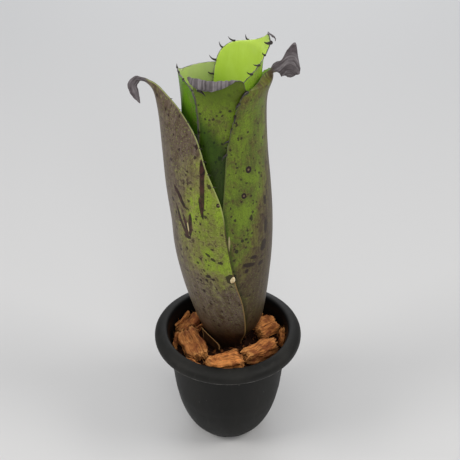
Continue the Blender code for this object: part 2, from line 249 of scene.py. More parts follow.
# Margins that carry spines: leaf, which margin (-1 left, +1 right, 0 the end row), the first
# and last height of the run (or share of the end row), the spine length, its hook, and how far
# it lifts off the leaf's outer face.
SPINY_MARGINS = (
    ("leaf_left_outer", 1, 0.262, 0.318, 0.0021, 0.3, 0.2),
    ("leaf_right_outer", -1, 0.286, 0.3340, 0.0068, -0.60, 0.45),
    ("leaf_right_outer", 1, 0.286, 0.330, 0.0030, 0.5, 0.2),
    ("leaf_back_left", 0, 0.05, 0.95, 0.0036, -0.6, 0.5),
    ("leaf_back_left", 1, 0.300, 0.338, 0.0044, -0.45, 0.4),
    ("leaf_back_tall", 1, 0.300, 0.3505, 0.0050, -0.75, 0.1),
    ("leaf_back_tall", -1, 0.300, 0.3600, 0.0070, 0.45, -0.5),
    ("leaf_front", 0, 0.02, 0.16, 0.0066, -0.35, 0.3),
)

# Marks on the two outer leaves, in metres on the skin: kind, place across from the midrib and
# along the leaf, then half the width, half the length and the turn, or the size of a ring.
LEFT_LEAF_MARKS = (
    ("scar", 0.0522, 0.2665, 0.0019, 0.0230, 0.0),
    ("scar", 0.0524, 0.2815, 0.0024, 0.0080, 0.0),
    ("scar", 0.0508, 0.2480, 0.0014, 0.0100, -0.10),
    ("scar", 0.0305, 0.2560, 0.0021, 0.0066, -0.70),
    ("scar", 0.0338, 0.2500, 0.0020, 0.0070, -0.50),
    ("scar", 0.0290, 0.2365, 0.0015, 0.0085, -0.25),
    ("scar", 0.0318, 0.2265, 0.0018, 0.0120, -0.40),
    ("scar", 0.0352, 0.2290, 0.0013, 0.0095, -0.12),
    ("scar", 0.0350, 0.2180, 0.0038, 0.0020, 0.0),
    ("scar", 0.0396, 0.2300, 0.0018, 0.0120, 0.14),
    ("pale", 0.0372, 0.2275, 0.0006, 0.0045, 0.0),
    ("blotch", 0.0576, 0.2669, 0.0014, 0.0021, -0.3),
    ("blotch", 0.0522, 0.2060, 0.0026, 0.0012, 0.7),
    ("blotch", 0.0560, 0.2020, 0.0024, 0.0014, 0.6),
    ("blotch", 0.0615, 0.1992, 0.0023, 0.0013, 0.3),
    ("blotch", 0.0494, 0.1842, 0.0023, 0.0018, -0.4),
    ("blotch", 0.0530, 0.1815, 0.0015, 0.0011, 0.0),
    ("blotch", 0.0470, 0.1800, 0.0012, 0.0015, 0.0),
    ("blotch", 0.0425, 0.1960, 0.0013, 0.0013, 0.0),
    ("blotch", 0.0330, 0.2060, 0.0016, 0.0013, 0.5),
    ("ring", 0.0640, 0.2516, 0.0015),
    ("blotch", 0.0674, 0.1823, 0.0046, 0.0056, 0.0),
)
RIGHT_LEAF_MARKS = (
    ("ring", -0.0313, 0.2768, 0.0024),
    ("ring", -0.0383, 0.2566, 0.0020),
    ("blotch", -0.0341, 0.2362, 0.0013, 0.0030, 0.0),
    ("blotch", -0.0176, 0.2450, 0.0018, 0.0045, 0.0),
    ("blotch", -0.0224, 0.2060, 0.0036, 0.0055, 0.3),
    ("blotch", -0.0190, 0.2220, 0.0022, 0.0070, 0.1),
    ("blotch", -0.0330, 0.1990, 0.0036, 0.0018, 0.2),
    ("blotch", -0.0371, 0.1930, 0.0058, 0.0022, 0.25),
    ("blotch", -0.0250, 0.1900, 0.0030, 0.0022, -0.2),
    ("blotch", -0.0432, 0.2180, 0.0014, 0.0016, 0.0),
    ("blotch", -0.0400, 0.2185, 0.0014, 0.0012, 0.0),
    ("blotch", -0.0480, 0.2090, 0.0016, 0.0020, 0.0),
    ("blotch", -0.0509, 0.1823, 0.0042, 0.0055, 0.0),
    # Painted highlight: a pale streak on this leaf beside the left leaf's margin.
    ("pale", -0.0538, 0.2165, 0.0008, 0.0078, 0.04),
)

# Rim colours of a leaf, low, in the middle and high.
PLAIN_RIM = ((0.10, 0.065, 0.03), (0.05, 0.04, 0.022), (0.05, 0.045, 0.03))
DUSKY_RIM = ((0.055, 0.035, 0.025), (0.055, 0.035, 0.025), (0.10, 0.12, 0.03))
PALE_RIM = ((0.26, 0.165, 0.060), (0.038, 0.020, 0.012), (0.34, 0.38, 0.12))
STRAW_RIM = ((0.40, 0.22, 0.085),) * 3

# The finish of each leaf outside: its green and its shaded green, the tone of its bloom, how
# speckled it is, its marks, its rim and the height of the painted shadow under its folded lip. And
# inside: the lining's green, raised to also paint light shining through the leaf, and the height
# above which it is at its brightest, with painted shade below.
LOOKS = {
    "leaf_left_outer": dict(
        green=(0.250, 0.355, 0.028), shade=(0.165, 0.190, 0.034), tone=(1.0, 1.0, 1.0),
        speckle=0.9, marks=LEFT_LEAF_MARKS, rim=PALE_RIM, lining=(0.26, 0.44, 0.05), bright=0.32),
    "leaf_right_outer": dict(
        tone=(0.58, 0.52, 0.40), speckle=0.85, marks=RIGHT_LEAF_MARKS, rim=DUSKY_RIM,
        lining=(0.56, 0.78, 0.10), bright=0.33),
    "leaf_front": dict(
        green=(0.175, 0.268, 0.017), shade=(0.104, 0.140, 0.017), tone=(0.6, 0.6, 0.5),
        speckle=0.9, rim=DUSKY_RIM, lip_shade=0.3335, lining=(0.40, 0.62, 0.05), bright=0.33),
    "leaf_back_left": dict(
        green=(0.135, 0.300, 0.010), shade=(0.090, 0.205, 0.008), tone=(1.0, 1.0, 1.0),
        speckle=0.2, rim=PLAIN_RIM, lining=(0.50, 0.60, 0.24), bright=0.315),
    "leaf_back_tall": dict(
        green=(0.300, 0.500, 0.034), shade=(0.210, 0.360, 0.026), tone=(1.0, 1.0, 1.0),
        speckle=0.1, rim=PLAIN_RIM, bright=0.325),
    "dry_bract": dict(
        green=(0.050, 0.028, 0.016), shade=(0.022, 0.012, 0.008), tone=(1.0, 1.0, 1.0),
        speckle=0.3, rim=STRAW_RIM, lining=(0.05, 0.03, 0.02), bright=0.33),
}

# The lights: name, place, what it points at, size, power and colour.
LIGHTS = (
    ("overhead", (-0.1, -0.3, 1.9), (0.0, 0.0, 0.1), 1.2, 5.5, (1.0, 0.985, 0.96)),
    ("left_window", (-1.15, -0.35, 1.15), (0.0, 0.0, 0.1), 0.6, 8.5, (1.0, 0.975, 0.94)),
    ("right_window", (1.1, -0.25, 1.25), (0.0, 0.0, 0.1), 0.6, 8.0, (1.0, 0.975, 0.94)),
    ("front", (0.25, -1.7, 1.15), (0.0, 0.0, 0.2), 0.9, 8.5, (1.0, 0.975, 0.93)),
    ("far_floor", (0.1, 2.3, 1.0), (0.05, 1.55, 0.0), 1.8, 19.0, (0.96, 0.98, 1.0)),
)


# ---------------------------------------------------------------- settings
def colour_setting(name, description, value):
    return FloatVectorProperty(name=name, description=description, default=value, size=3,
                               min=0.0, max=1.0, subtype="COLOR")


def length_setting(name, description, value):
    return FloatProperty(name=name, description=description, default=value, min=0.0,
                         unit="LENGTH", subtype="DISTANCE", precision=4)


class PotSettings(bpy.types.PropertyGroup):
    wall: length_setting("Wall", "Thickness of the pot's wall", 0.0013)
    colour: colour_setting("Colour", "Charcoal plastic", (0.0064, 0.0064, 0.0058))
    dust: colour_setting("Dust", "Dust and scuffs on the plastic", (0.045, 0.043, 0.038))
    steps: IntProperty(name="Steps", description="Facets round the pot", default=160, min=24)


class HuskSettings(bpy.types.PropertyGroup):
    light: colour_setting("Light fibre", "Fresh broken fibre", (0.74, 0.285, 0.080))
    dark: colour_setting("Dark fibre", "Weathered fibre and hollows", (0.055, 0.018, 0.008))
    crumbs: IntProperty(name="Crumbs", description="Small bits on the mix", default=900, min=0)
    strands: IntProperty(name="Strands", description="Loose strands per chip", default=22, min=0)
    strand: length_setting("Strand length", "Length of a loose strand", 0.0065)


class LeafSettings(bpy.types.PropertyGroup):
    thickness: length_setting("Thickness", "Thickness of a leaf", 0.0009)
    row: length_setting("Row spacing", "Distance between rows of the leaf mesh", 0.0015)
    green: colour_setting("Green", "Living outer skin", (0.155, 0.232, 0.019))
    shade: colour_setting("Shaded green", "Darker patches of the outer skin", (0.080, 0.110, 0.018))
    veil: colour_setting("Bloom", "Purple-grey bloom over the skin", (0.115, 0.076, 0.058))
    spot: colour_setting("Spots", "Dark maroon spots", (0.026, 0.013, 0.011))
    dry: colour_setting("Dry", "Withered tips and edges", (0.235, 0.212, 0.222))
    foot: colour_setting("Foot", "Brown foot of the leaves", (0.015, 0.0065, 0.0025))
    # The inner green is raised above the leaf's own colour to also paint light shining through the leaf.
    inner: colour_setting("Inner green", "Glossy inner skin", (0.530, 0.740, 0.088))
    spine: colour_setting("Spines", "Hard marginal spines", (0.008, 0.006, 0.006))
    spine_gap: length_setting("Spine spacing", "Distance between spines", 0.0098)


class StageSettings(bpy.types.PropertyGroup):
    floor: colour_setting("Floor", "Pale floor", (0.66, 0.66, 0.66))
    lens: FloatProperty(name="Lens", description="Focal length on a 36 mm sensor", default=70.4)
    pitch: FloatProperty(name="Pitch", description="How far the camera looks down",
                         default=math.radians(34.1), subtype="ANGLE")


class BromeliadSettings(bpy.types.PropertyGroup):
    pot: PointerProperty(type=PotSettings, name="Pot", description="Nursery pot")
    husk: PointerProperty(type=HuskSettings, name="Husk", description="Coconut husk")
    leaf: PointerProperty(type=LeafSettings, name="Leaves", description="Leaves and spines")
    stage: PointerProperty(type=StageSettings, name="Stage", description="Floor and camera")


# ---------------------------------------------------------------- node helpers
def put(tree, kind, inputs=None, **settings):
    """Add a node, set its settings, and fill its inputs with values or links."""
    made = tree.nodes.new(kind)
    for key, value in settings.items():
        setattr(made, key, value)
    for key, value in (inputs or {}).items():
        if isinstance(value, bpy.types.NodeSocket):
            tree.links.new(value, made.inputs[key])
        else:
            made.inputs[key].default_value = value
    return made


def maths(tree, operation, first, second=0.0):
    return put(tree, "ShaderNodeMath", {0: first, 1: second}, operation=operation).outputs[0]


def plus(tree, first, second):
    return maths(tree, "ADD", first, second)


def times(tree, first, second):
    return maths(tree, "MULTIPLY", first, second)


def centred(tree, value, strength):
    """Noise moved from around a half to around zero, and scaled."""
    return times(tree, maths(tree, "SUBTRACT", value, 0.5), strength)


def mixed(tree, factor, first, second, mode="MIX"):
    """Mix two colours; colours may be sockets or RGB triples."""
    inputs = {0: factor}
    for index, colour in ((6, first), (7, second)):
        plain = not isinstance(colour, bpy.types.NodeSocket)
        inputs[index] = (*colour, 1.0) if plain else colour
    return put(tree, "ShaderNodeMix", inputs, data_type="RGBA", blend_type=mode).outputs[2]


def ranged(tree, value, low, high, start=0.0, end=1.0):
    """Smoothly map a value from one range to another."""
    return put(tree, "ShaderNodeMapRange",
               {"Value": value, "From Min": low, "From Max": high, "To Min": start, "To Max": end},
               interpolation_type="SMOOTHSTEP").outputs["Result"]


def noisy(tree, vector, scale, detail=4.0, roughness=0.55, distortion=0.0):
    """Noise from 0 to 1."""
    return put(tree, "ShaderNodeTexNoise", {"Vector": vector, "Scale": scale, "Detail": detail,
               "Roughness": roughness, "Distortion": distortion}).outputs["Fac"]


def stretched(tree, vector, scale, turn=0.0):
    """A texture's place, scaled along each axis and turned about Z."""
    return put(tree, "ShaderNodeMapping", {"Vector": vector, "Scale": scale,
               "Rotation": (0.0, 0.0, turn)}).outputs[0]


def weight(tree, name):
    """A value stored per vertex."""
    return put(tree, "ShaderNodeAttribute", attribute_name=name).outputs["Fac"]


def object_place(tree):
    return put(tree, "ShaderNodeTexCoord").outputs["Object"]


def new_material(name):
    made = bpy.data.materials.new(name)
    made.use_nodes = True
    made.node_tree.nodes.clear()
    return made, made.node_tree


def finish_material(tree, colour, roughness, height=None, bump=0.3, reach=0.001, **fixed):
    """Join colour, roughness and height to a Principled shader; fixed are plain values."""
    inputs = {"Base Color": colour, "Roughness": roughness}
    if height is not None:
        inputs["Normal"] = put(tree, "ShaderNodeBump", {"Height": height, "Strength": bump,
                               "Distance": reach}).outputs[0]
    shader = put(tree, "ShaderNodeBsdfPrincipled", inputs)
    for key, value in fixed.items():
        shader.inputs[key.replace("_", " ").title().replace("Ior", "IOR")].default_value = value
    put(tree, "ShaderNodeOutputMaterial", {"Surface": shader.outputs[0]})


# ---------------------------------------------------------------- materials
def spots(tree, skin, scale, size, share, soft=0.35):
    """Round spots in scattered cells of a Voronoi pattern: 1 in a spot, 0 outside."""
    cells = put(tree, "ShaderNodeTexVoronoi", {"Vector": skin, "Scale": scale,
                "Randomness": 0.95})
    chance = put(tree, "ShaderNodeSeparateColor", {0: cells.outputs["Color"]})
    reach = times(tree, chance.outputs[1], size)
    chosen = maths(tree, "LESS_THAN", chance.outputs[0], share)
    inside = ranged(tree, maths(tree, "DIVIDE", cells.outputs["Distance"], reach), 1.0, 1.0 - soft)
    return times(tree, inside, chosen)


def stroke(tree, skin, across, along, half_width, half_length, turn=0.0, ragged=0.35):
    """A scar: 1 inside a long, ragged lens shape at one place on the leaf, 0 outside."""
    placed = put(tree, "ShaderNodeVectorMath", {0: skin, 1: (across, along, 0.0)},
                 operation="SUBTRACT").outputs[0]
    local = stretched(tree, placed, (1.0, 1.0, 1.0), turn=turn)
    squeezed = put(tree, "ShaderNodeVectorMath", {0: local, 1: (1 / half_width, 1 / half_length, 0)},
                   operation="MULTIPLY").outputs[0]
    parts = put(tree, "ShaderNodeSeparateXYZ", {0: squeezed})
    wide = maths(tree, "ABSOLUTE", parts.outputs[0])
    long = maths(tree, "POWER", maths(tree, "ABSOLUTE", parts.outputs[1]), 4.0)
    rough = times(tree, noisy(tree, stretched(tree, skin, (1, 0.3, 1)), 900.0, 3.0), ragged)
    reach = plus(tree, plus(tree, wide, long), rough)
    return ranged(tree, reach, 1.25, 0.95)


def marked(tree, skin, mottle, colour, marks):
    """Scars, dark blotches, pale slits and ring spots, one by one; the pale slit on the right leaf is a
    painted highlight.
    """
    for kind, *values in marks:
        if kind == "ring":
            across, along, size = values
            halo = stroke(tree, skin, across, along, size, size * 1.25, 0, 0.15)
            core = stroke(tree, skin, across, along, size * 0.34, size * 0.38, 0, 0.1)
            colour = mixed(tree, halo, colour, (0.022, 0.010, 0.010))
            colour = mixed(tree, core, colour, (0.17, 0.12, 0.07))
            continue
        inside = stroke(tree, skin, *values)
        if kind == "scar":
            wound = mixed(tree, ranged(tree, mottle, 0.38, 0.62), (0.014, 0.006, 0.006),
                          (0.060, 0.022, 0.017))
            colour = mixed(tree, times(tree, inside, 0.95), colour, wound)
        elif kind == "blotch":
            colour = mixed(tree, times(tree, inside, 0.85), colour, (0.018, 0.009, 0.008))
        else:
            colour = mixed(tree, inside, colour, (0.60, 0.50, 0.26))
    return colour


def bloomed(tree, settings, look, wash, streaks, mottle, colour):
    """The leaf's bloom over its green: tan where it is thin, purple where it is thick."""
    thin, thin_light, thick, thick_light, stained = (
        [tone * c for tone, c in zip(look["tone"], shade)]
        for shade in ((0.192, 0.164, 0.055), (0.310, 0.268, 0.106), settings.veil,
                      (0.155, 0.114, 0.100), (0.060, 0.032, 0.025)))
    tan = mixed(tree, ranged(tree, streaks, 0.35, 0.7), thin, thin_light)
    colour = mixed(tree, ranged(tree, wash, -0.05, 0.50, 0.0, 0.80), colour, tan)
    bloom = mixed(tree, ranged(tree, streaks, 0.36, 0.70), thick, thick_light)
    bloom = mixed(tree, ranged(tree, mottle, 0.46, 0.62, 0.0, 0.50), bloom, stained)
    return mixed(tree, ranged(tree, wash, 0.30, 0.85, 0.0, 0.95), colour, bloom)


def leaf_skin(name, settings, look):
    """Outer skin: mottled green under a purple bloom, spots, dry tips, a brown foot and painted shade.
    """
    green = look.get("green", settings.green)
    speckle = look["speckle"]
    made, tree = new_material(name)
    skin = put(tree, "ShaderNodeUVMap", uv_map="UVMap").outputs[0]
    height = put(tree, "ShaderNodeSeparateXYZ", {0: skin}).outputs[1]
    dry = weight(tree, "dry")

    patches = noisy(tree, stretched(tree, skin, (1.0, 0.55, 1.0)), 62.0, 5.0, 0.62)
    mottle = noisy(tree, stretched(tree, skin, (1.0, 0.8, 1.0)), 250.0, 5.0, 0.68, 0.6)
    net = noisy(tree, stretched(tree, skin, (1.0, 0.7, 1.0)), 440.0, 3.0, 0.65, 1.2)
    streaks = noisy(tree, stretched(tree, skin, (1.0, 0.07, 1.0)), 380.0, 4.0, 0.65)
    fine = noisy(tree, skin, 760.0, 3.0, 0.75)
    colour = mixed(tree, ranged(tree, patches, 0.36, 0.64), green, look.get("shade", settings.shade))
    colour = mixed(tree, ranged(tree, streaks, 0.42, 0.75, 0.0, 0.25), colour, [1.3 * c for c in green])

    off_patch = centred(tree, patches, 1.3)
    off_fine = centred(tree, fine, 1.3)
    grain = plus(tree, centred(tree, mottle, 1.5), off_fine)
    wash = plus(tree, plus(tree, weight(tree, "veil"), off_patch), grain)
    colour = bloomed(tree, settings, look, wash, streaks, mottle, colour)
    pale = [1.5 * c + 0.02 for c in green]
    colour = mixed(tree, ranged(tree, fine, 0.55, 0.68, 0.0, 0.45), colour, pale)
    colour = mixed(tree, ranged(tree, net, 0.52, 0.62, 0.0, 0.50 * speckle), colour,
                   (0.060, 0.050, 0.016))
    colour = mixed(tree, ranged(tree, fine, 0.45, 0.34, 0.0, 0.42), colour, (0.040, 0.034, 0.014))

    stain = times(tree, ranged(tree, mottle, 0.555, 0.62),
                  ranged(tree, patches, 0.44, 0.64, 0.10 * speckle, 0.85 * speckle))
    colour = mixed(tree, stain, colour, (0.050, 0.028, 0.018))
    wander = put(tree, "ShaderNodeTexNoise", {"Vector": skin, "Scale": 480.0, "Detail": 2.0})
    shifted = put(tree, "ShaderNodeVectorMath", {0: wander.outputs["Color"], 1: (0.0024, 0.0024, 0.0),
                  2: skin}, operation="MULTIPLY_ADD").outputs[0]
    small = spots(tree, stretched(tree, shifted, (1.0, 0.85, 1.0)), 320.0, 0.44, 0.66 * speckle)
    large = spots(tree, stretched(tree, shifted, (1.0, 0.8, 1.0)), 125.0, 0.28, 0.46 * speckle)
    colour = mixed(tree, times(tree, small, 0.85), colour, settings.spot)
    colour = mixed(tree, times(tree, large, 0.95), colour, settings.spot)
    # Painted shadow: the front leaf darkens just under its folded lip.
    if "lip_shade" in look:
        lip_shade = ranged(tree, height, look["lip_shade"] - 0.014, look["lip_shade"] + 0.004, 0.0, 0.75)
        colour = mixed(tree, lip_shade, colour, [0.52 * c for c in green])
    colour = marked(tree, skin, mottle, colour, look.get("marks", ()))

    ragged_height = plus(tree, height, times(tree, off_patch, 0.012))
    brown = mixed(tree, ranged(tree, streaks, 0.35, 0.7), settings.foot,
                  [1.9 * c for c in settings.foot])
    colour = mixed(tree, ranged(tree, ragged_height, 0.148, 0.104, 0.0, 0.985), colour, brown)
    # Painted shade: dark green low in the tube and beside the margins of overlapping leaves.
    tinted = mixed(tree, 1.0, colour, (0.2, 0.3, 0.1), "MULTIPLY")
    painted_shading = mixed(tree, 0.5, (0.010, 0.038, 0.002), tinted)
    colour = mixed(tree, times(tree, weight(tree, "painted_shade"), 0.92), colour, painted_shading)
    low_rim, middle_rim, high_rim = look["rim"]
    rim = mixed(tree, ranged(tree, height, 0.178, 0.192), low_rim, middle_rim)
    rim = mixed(tree, ranged(tree, height, 0.228, 0.246), rim, high_rim)
    from_margin = plus(tree, weight(tree, "edge"), times(tree, off_fine, 0.0006))
    colour = mixed(tree, ranged(tree, from_margin, 0.0013, 0.0006, 0.0, 0.85), colour, rim)
    withered = mixed(tree, ranged(tree, streaks, 0.40, 0.66), (0.095, 0.079, 0.084), settings.dry)
    shrivelled = ranged(tree, plus(tree, dry, times(tree, grain, 0.22)), 0.25, 0.8)
    colour = mixed(tree, shrivelled, colour, withered)

    roughness = plus(tree, ranged(tree, dry, 0.1, 0.9, 0.44, 0.80), times(tree, off_fine, 0.25))
    relief = plus(tree, times(tree, streaks, 0.7), times(tree, fine, 0.3))
    relief = maths(tree, "SUBTRACT", relief, times(tree, large, 0.3))
    finish_material(tree, colour, roughness, relief, 0.35, 0.0005, specular_ior_level=0.2)
    return made


def leaf_lining(name, settings, look):
    """Inner skin: bright green that also paints light through the leaf, painted shade lower down, and a
    withered edge with dust.
    """
    made, tree = new_material(name)
    skin = put(tree, "ShaderNodeUVMap", uv_map="UVMap").outputs[0]
    height = put(tree, "ShaderNodeSeparateXYZ", {0: skin}).outputs[1]
    scurf = weight(tree, "scurf")
    dry = weight(tree, "dry")
    streaks = noisy(tree, stretched(tree, skin, (1.0, 0.05, 1.0)), 520.0, 4.0, 0.6)
    patches = noisy(tree, stretched(tree, skin, (1.0, 0.5, 1.0)), 70.0, 4.0, 0.55)
    fine = noisy(tree, skin, 1100.0, 3.0, 0.6)
    # The lining's green is its own colour, raised to also paint light shining through the leaf.
    green = look.get("lining", settings.inner)
    # Painted shade: the lining darkens below the height where it is at its brightest.
    shaded = ranged(tree, height, look["bright"] - 0.060, look["bright"], 1.0, 0.0)
    colour = mixed(tree, shaded, green, [0.84 * c for c in green])
    colour = mixed(tree, ranged(tree, patches, 0.4, 0.7, 0.0, 0.35), colour, (0.66, 0.88, 0.18))
    colour = mixed(tree, ranged(tree, streaks, 0.45, 0.8, 0.0, 0.15), colour, (0.34, 0.54, 0.05))
    grain = centred(tree, fine, 0.9)
    # Dust at the tip and dry edges; on the tall back leaf's top it also paints a highlight.
    dust_and_highlight = ranged(tree, plus(tree, scurf, grain), 0.20, 0.95)
    colour = mixed(tree, times(tree, dust_and_highlight, 0.72), colour, (0.56, 0.62, 0.36))
    withered = mixed(tree, ranged(tree, streaks, 0.35, 0.7), (0.060, 0.050, 0.052), settings.dry)
    colour = mixed(tree, ranged(tree, plus(tree, dry, grain), 0.25, 0.9), colour, withered)
    roughness = ranged(tree, scurf, 0.1, 0.9, 0.27, 0.75)
    relief = plus(tree, times(tree, streaks, 0.6), times(tree, fine, 0.2))
    finish_material(tree, colour, roughness, relief, 0.22, 0.0004, specular_ior_level=0.5)
    return made


def horn(name, settings):
    """Hard spines: nearly black, patched with brown, with a dull gloss."""
    made, tree = new_material(name)
    place = object_place(tree)
    cloud = noisy(tree, place, 700.0, 3.0)
    colour = mixed(tree, ranged(tree, cloud, 0.4, 0.7), settings.spine, (0.040, 0.024, 0.018))
    finish_material(tree, colour, ranged(tree, noisy(tree, place, 1500.0), 0.3, 0.7, 0.35, 0.6))
    return made


def moulded_plastic(name, settings):
    """Matte charcoal plastic: fine moulded grain, faint streaks and dust, painted shade on the inner
    wall, and painted light on the rim with a painted highlight along its lip.
    """
    made, tree = new_material(name)
    place = object_place(tree)
    grain = noisy(tree, place, 1600.0, 4.0, 0.6)
    cloud = noisy(tree, stretched(tree, place, (1.0, 1.0, 0.35)), 38.0, 5.0, 0.6)
    runs = noisy(tree, stretched(tree, place, (1.0, 1.0, 0.05)), 210.0, 3.0, 0.5)
    height = put(tree, "ShaderNodeSeparateXYZ", {0: place}).outputs[2]
    flat = put(tree, "ShaderNodeVectorMath", {0: place, 1: (1.0, 1.0, 0.0)},
               operation="MULTIPLY").outputs[0]
    radius = put(tree, "ShaderNodeVectorMath", {0: flat}, operation="LENGTH").outputs["Value"]
    # Painted shade: the inner wall above the mix, near black.
    inside = times(tree, ranged(tree, radius, 0.0528, 0.0520), ranged(tree, height, 0.088, 0.092))
    # Dust on the rim band, which also paints light on the rim.
    rim_dust_and_light = ranged(tree, height, 0.0955, 0.0975)
    # Painted highlight: a light line along the lower edge of the rim's lip.
    lip = times(tree, ranged(tree, height, 0.0975, 0.0970), ranged(tree, radius, 0.0600, 0.0606))
    lip_highlight = times(tree, lip, ranged(tree, runs, 0.40, 0.60, 0.35, 1.0))
    motes = spots(tree, place, 330.0, 0.16, 0.07)
    colour = mixed(tree, ranged(tree, cloud, 0.42, 0.75, 0.0, 0.28), settings.colour, settings.dust)
    colour = mixed(tree, ranged(tree, runs, 0.58, 0.76, 0.0, 0.22), colour, settings.dust)
    # Dust and painted light on the rim.
    colour = mixed(tree, times(tree, rim_dust_and_light, 0.12), colour, settings.dust)
    # Painted shade on the inner wall.
    colour = mixed(tree, inside, colour, (0.0022, 0.0021, 0.0020))
    colour = mixed(tree, times(tree, motes, 0.6), colour, (0.26, 0.25, 0.22))
    # Painted highlight on the lip.
    colour = mixed(tree, lip_highlight, colour, (0.26, 0.25, 0.235))
    roughness = ranged(tree, cloud, 0.3, 0.75, 0.46, 0.66)
    relief = plus(tree, times(tree, grain, 0.8), times(tree, runs, 0.2))
    finish_material(tree, colour, roughness, relief, 0.22, 0.00025, specular_ior_level=0.18)
    return made


def husk_fibre(name, settings, tone):
    """Coconut husk: strands along the chip from dark hollows to pale broken fibre."""
    made, tree = new_material(name)
    grain = put(tree, "ShaderNodeAttribute", attribute_name="grain").outputs["Vector"]
    place = object_place(tree)
    strands = noisy(tree, stretched(tree, grain, (0.10, 1.0, 1.0)), 900.0, 6.0, 0.7, 0.4)
    bundles = noisy(tree, stretched(tree, grain, (0.16, 1.0, 1.0)), 210.0, 4.0, 0.6, 0.6)
    blotch = noisy(tree, place, 130.0, 4.0, 0.6)
    light = [tone * c for c in settings.light]
    colour = mixed(tree, ranged(tree, strands, 0.30, 0.56), settings.dark, light)
    colour = mixed(tree, ranged(tree, bundles, 0.46, 0.30, 0.0, 0.85), colour, settings.dark)
    colour = mixed(tree, ranged(tree, blotch, 0.46, 0.62, 0.0, 0.75), colour, (0.20, 0.055, 0.020))
    colour = mixed(tree, ranged(tree, blotch, 0.42, 0.28, 0.0, 0.45), colour, (0.90, 0.44, 0.14))
    colour = mixed(tree, ranged(tree, strands, 0.60, 0.76, 0.0, 0.65), colour, (0.86, 0.50, 0.20))
    torn = times(tree, weight(tree, "torn"), ranged(tree, strands, 0.40, 0.56))
    colour = mixed(tree, times(tree, torn, 0.6), colour, (0.80, 0.40, 0.13))
    relief = plus(tree, strands, times(tree, bundles, 0.8))
    finish_material(tree, colour, 0.92, relief, 0.9, 0.0011, specular_ior_level=0.2)
    return made


def dark_crumb(name, settings):
    """Loose bits of the mix: dark weathered husk with a few orange grains."""
    made, tree = new_material(name)
    place = object_place(tree)
    fine = noisy(tree, place, 900.0, 4.0, 0.7)
    chance = noisy(tree, place, 240.0, 2.0, 0.5)
    colour = mixed(tree, ranged(tree, chance, 0.56, 0.70), [0.5 * c for c in settings.dark],
                   (0.26, 0.095, 0.030))
    colour = mixed(tree, ranged(tree, fine, 0.45, 0.70, 0.0, 0.6), colour, (0.018, 0.009, 0.006))
    finish_material(tree, colour, 0.95, fine, 0.8, 0.0008, specular_ior_level=0.15)
    return made


def cream_bud(name):
    """A small pale bud: cream patched with tan, with a waxy surface."""
    made, tree = new_material(name)
    place = object_place(tree)
    cloud = noisy(tree, place, 420.0, 4.0)
    colour = mixed(tree, ranged(tree, cloud, 0.4, 0.7), (0.78, 0.66, 0.42), (0.52, 0.38, 0.17))
    finish_material(tree, colour, ranged(tree, cloud, 0.3, 0.7, 0.5, 0.7), cloud, 0.4, 0.0003)
    return made


# ---------------------------------------------------------------- mesh helpers
def link(name, mesh, materials=()):
    """Put a mesh in the scene as an object at the origin."""
    item = bpy.data.objects.new(name, mesh)
    bpy.context.scene.collection.objects.link(item)
    for surface in materials:
        mesh.materials.append(surface)
    return item


def settle(item, node=None):
    """Hand a finished piece to the frame: it rides, and may stand for a CAD node."""
    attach(item, "root")
    if node is not None:
        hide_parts(node)


def set_values(mesh, name, kind, values):
    """Store one value or vector per vertex."""
    layer = mesh.attributes.new(name, kind, "POINT")
    field = "vector" if kind == "FLOAT_VECTOR" else "value"
    layer.data.foreach_set(field, np.asarray(values, dtype=np.float32).ravel())


def applied(item, name):
    """Turn an object with modifiers into a plain mesh object under a new name."""
    bpy.context.view_layer.update()
    depsgraph = bpy.context.evaluated_depsgraph_get()
    mesh = bpy.data.meshes.new_from_object(item.evaluated_get(depsgraph))
    bpy.data.objects.remove(item, do_unlink=True)
    mesh.name = name
    return link(name, mesh)


def node_modifier(item, tree, values):
    """Add a geometry nodes modifier and set its inputs by their identifiers."""
    modifier = item.modifiers.new(tree.name, "NODES")
    modifier.node_group = tree
    for entry in tree.interface.items_tree:
        if entry.item_type == "SOCKET" and entry.in_out == "INPUT" and entry.name in values:
            modifier[entry.identifier] = values[entry.name]
    return modifier


def node_group(name, inputs):
    """A geometry nodes group with a geometry input and output and the named inputs."""
    tree = bpy.data.node_groups.new(name, "GeometryNodeTree")
    tree.interface.new_socket("Geometry", in_out="INPUT", socket_type="NodeSocketGeometry")
    for label, kind in inputs:
        tree.interface.new_socket(label, in_out="INPUT", socket_type="NodeSocket" + kind)
    tree.interface.new_socket("Geometry", in_out="OUTPUT", socket_type="NodeSocketGeometry")
    return tree, put(tree, "NodeGroupInput").outputs


def close_group(tree, geometry, surface):
    """End a group in Realize Instances and Set Material."""
    real = put(tree, "GeometryNodeRealizeInstances", {0: geometry}).outputs[0]
    painted = put(tree, "GeometryNodeSetMaterial", {"Geometry": real, "Material": surface}).outputs[0]
    put(tree, "NodeGroupOutput", {0: painted})
    return tree


def smooth_step(value, start, full):
    """Rise smoothly from 0 at start to 1 at full, or fall where full is the lower one."""
    share = np.clip((np.asarray(value, dtype=float) - start) / (full - start), 0.0, 1.0)
    return share * share * (3 - 2 * share)


def spline(rows, places):
    """Catmull-Rom curve through rows of values, read at places counted in rows."""
    rows = np.asarray(rows, dtype=float)
    last = len(rows) - 1
    places = np.clip(places, 0.0, last - 1e-9)
    index = places.astype(int)
    part = (places - index)[:, None]
    p1 = rows[index]
    p2 = rows[index + 1]
    p0 = np.where((index > 0)[:, None], rows[np.maximum(index - 1, 0)], 2 * p1 - p2)
    p3 = np.where((index < last - 1)[:, None], rows[np.minimum(index + 2, last)], 2 * p2 - p1)
    return 0.5 * (2 * p1 + (p2 - p0) * part + (2 * p0 - 5 * p1 + 4 * p2 - p3) * part ** 2
                  + (3 * p1 - p0 - 3 * p2 + p3) * part ** 3)


TUBE_CURVE = spline(TUBE, np.linspace(0, len(TUBE) - 1, 400))


